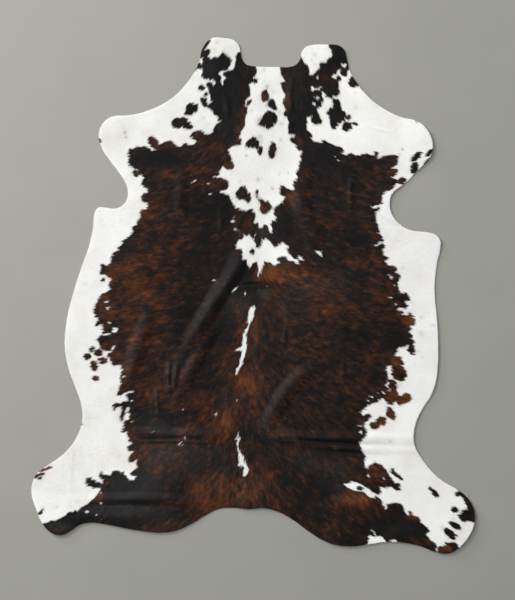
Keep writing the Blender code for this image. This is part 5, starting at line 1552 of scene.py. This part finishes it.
def blade_arrays(roots):
    """Corner points and normals of every blade, shape (blades, 5, 3), where its colour is read, its tone.

    A blade runs from its root along the lie of the hair, turned by a random angle, and bends by
    another one at its middle. Its normals are the sheet's, minus slope x and y and one upwards,
    leaned by a random amount for each blade.
    """
    rng = np.random.default_rng(seed=72)
    count = len(roots)
    lay = read(lie, roots)
    base = np.arctan2(lay[:, 1], lay[:, 0]) + rng.normal(0.0, TURN_SPREAD, count)
    bend = rng.normal(0.0, TURN_SPREAD, count)
    long = BLADE_LONG * rng.uniform(*SIZE_SPREAD, count)
    wide = BLADE_WIDE * rng.uniform(*SIZE_SPREAD, count)
    first = np.stack([np.cos(base), np.sin(base)], axis=1)
    second = np.stack([np.cos(base + bend), np.sin(base + bend)], axis=1)
    for _ in range(2):
        tip = roots + first * (long / 2)[:, None] + second * (long / 2)[:, None]
        long = np.where(read(on_hide.astype(float), tip) < 0.5, long * SHORTENED, long)
    middle = roots + first * (long / 2)[:, None]
    tip = middle + second * (long / 2)[:, None]
    side = np.stack([-first[:, 1], first[:, 0]], axis=1) * (wide / 2)[:, None]
    lift = rng.uniform(*RISE_SPREAD, count) * np.minimum(1.0, long / BLADE_LONG + (1 - FULL_RISE_FROM))
    roll = rng.normal(0.0, ROLL_SPREAD, count) * wide / 2
    points = np.empty((count, len(CORNERS), 3))
    normals = np.empty((count, len(CORNERS), 3))
    lean = rng.normal(0.0, LEAN_SPREAD, (count, 2)) - BACK_LEAN * first
    for corner, (row, hand) in enumerate(CORNERS):
        place = (roots, middle, tip)[row]
        points[:, corner, :2] = place + hand * NARROWING[row] * side
        points[:, corner, 2] = read(height, place) + LEATHER + RISE[row] * MM * lift + hand * roll
        tilt = lean + read(ruffle, place)[:, None] * LEAN_TO - SLOPE_SHARE * read(slope, place)
        tilt += hand * SIDE_LEAN * side / (wide / 2)[:, None]
        normals[:, corner] = np.column_stack([tilt, np.ones(count)])
    normals /= np.linalg.norm(normals, axis=2, keepdims=True)
    seen = roots + (tip - roots) * COLOUR_PLACE
    return points, normals, seen, rng.uniform(0.0, 1.0, count)


roots = blade_roots()
slope_y, slope_x = np.gradient(blurred(height, SLOPE_REACH), CELL)
slope = np.stack([slope_x, slope_y], axis=2)
blades, blade_normals, blade_places, blade_tones = blade_arrays(roots)
print(len(roots), "blades,", 3 * len(roots), "triangles")

# %% Join the blades into a few pieces, from the neck to the tail
REGIONS = ("hair_neck", "hair_shoulder", "hair_back", "hair_loin", "hair_rump")
LEAF = (0, 3, 2, 1)                # corners of the quad from root to middle
POINT = (3, 4, 2)                  # corners of the triangle from middle to tip


def build_hair(name, chosen):
    """One mesh of many blades: a quad from root to middle and a triangle from middle to tip each."""
    points = blades[chosen].reshape(-1, 3)
    start = len(CORNERS) * np.arange(len(chosen))[:, None]
    quads = start + LEAF
    tips = start + POINT
    up = np.cross(points[quads[:, 1]] - points[quads[:, 0]], points[quads[:, 2]] - points[quads[:, 0]])
    if up[:, 2].mean() < 0:
        quads, tips = quads[:, ::-1], tips[:, ::-1]
    mesh = mesh_from(name, points, [quads, tips])
    places = blade_places[chosen]
    for title, chart in MARKINGS.items():
        set_values(mesh, title, np.repeat(read(chart, places), len(CORNERS)))
    set_values(mesh, "tone", np.repeat(blade_tones[chosen], len(CORNERS)))
    set_values(mesh, "tip", np.tile([row / TIP_ROW for row, _ in CORNERS], len(chosen)))
    mesh.shade_smooth()
    mesh.normals_split_custom_set_from_vertices(blade_normals[chosen].reshape(-1, 3).tolist())
    spots = np.repeat(places, len(CORNERS), axis=0)
    spots += GATHERED * (points[:, :2] - spots)
    spots = (spots - spots.min(axis=0)) / np.ptp(spots, axis=0)
    set_map(mesh, spots[np.concatenate([quads.ravel(), tips.ravel()])])
    return mesh


order = np.argsort(-roots[:, 1], kind="stable")
hair_pieces = [
    placed(name, build_hair(name, chosen), blade_material)
    for name, chosen in zip(REGIONS, np.array_split(order, len(REGIONS)))
]
print({piece.name: len(piece.data.polygons) for piece in hair_pieces})

# %% [markdown]
# ## The sheet
#
# The hide is one sheet cut from a flat skin, 1.98 m by 2.30 m over all and 3.13 m2 in area, and it is
# laid on a floor. The hair goes with it.

# %% [markdown]
# ## Floor and light
#
# A plain pale floor and soft studio light. A wide lamp above and to the left of the picture's top
# gives shape to the folds and a short shadow at the lower right rim, a lower one skims over them, a
# high one gives the hair its gloss, and an even pale sky fills the rest. The floor is a little below
# the hide, so that the two don't share a face.

# %% Lay the floor
FLOOR_GREY = (0.27, 0.265, 0.237)
FLOOR_ROUGHNESS = 0.7
FLOOR_MOTTLE = 3.0
FLOOR_TONE = (0.94, 1.06)
FLOOR_HALF = 12.0
FLOOR_DROP = 0.0006


def floor_material():
    """Plain grey with large faint clouds."""
    material, tree, surface = new_material("Floor")
    mottle = speckled(tree, "mottle", (-3, 0), own_place(tree, (-4, 0)), FLOOR_MOTTLE, Detail=6.0)
    inputs = {0: FLOOR_GREY, "Scale": ranged(tree, "tone", (-2, 0), mottle, *FLOOR_TONE)}
    colour = add_node(tree, "VectorMath", "floor colour", (-1, 0), inputs, operation="SCALE")
    feed(tree, surface, {"Base Color": colour.outputs["Vector"], "Roughness": FLOOR_ROUGHNESS})
    return material


floor_mesh = bpy.data.meshes.new("floor")
corner_signs = ((-1, -1), (1, -1), (1, 1), (-1, 1))
floor_corners = [(FLOOR_HALF * x, FLOOR_HALF * y, -FLOOR_DROP) for x, y in corner_signs]
floor_mesh.from_pydata(floor_corners, [], [(0, 1, 2, 3)])
floor_mesh.materials.append(floor_material())
floor = bpy.data.objects.new("floor", floor_mesh)
bpy.context.scene.collection.objects.link(floor)
print(f"floor {2 * FLOOR_HALF:.0f} m square")

print("sheet:", skin.name, "with", [piece.name for piece in hair_pieces])

# %% Set the lights
LAMPS = {          # place in metres, side of the square in metres, power in watts
    "low window light": ((-8.0, 6.8, 6.4), 2.6, 1080.0),
    "grazing light": ((-9.0, 7.4, 2.6), 1.6, 620.0),
    "high gloss light": ((-4.5, 2.8, 10.0), 4.0, 560.0),
}
SKY = {"Color": (0.93, 0.95, 1.0, 1.0), "Strength": 0.385}

for name, (place, size, power) in LAMPS.items():
    lamp = bpy.data.lights.new(name, "AREA")
    lamp.size = size
    lamp.energy = power
    light = bpy.data.objects.new(name, lamp)
    light.location = place
    light.rotation_euler = Vector([-x for x in place]).to_track_quat("-Z", "Y").to_euler()
    bpy.context.scene.collection.objects.link(light)
world = bpy.data.worlds.new("studio")
bpy.context.scene.world = world
world.use_nodes = True
feed(world.node_tree, world.node_tree.nodes["Background"], SKY)
bpy.context.scene.view_settings.view_transform = "Standard"
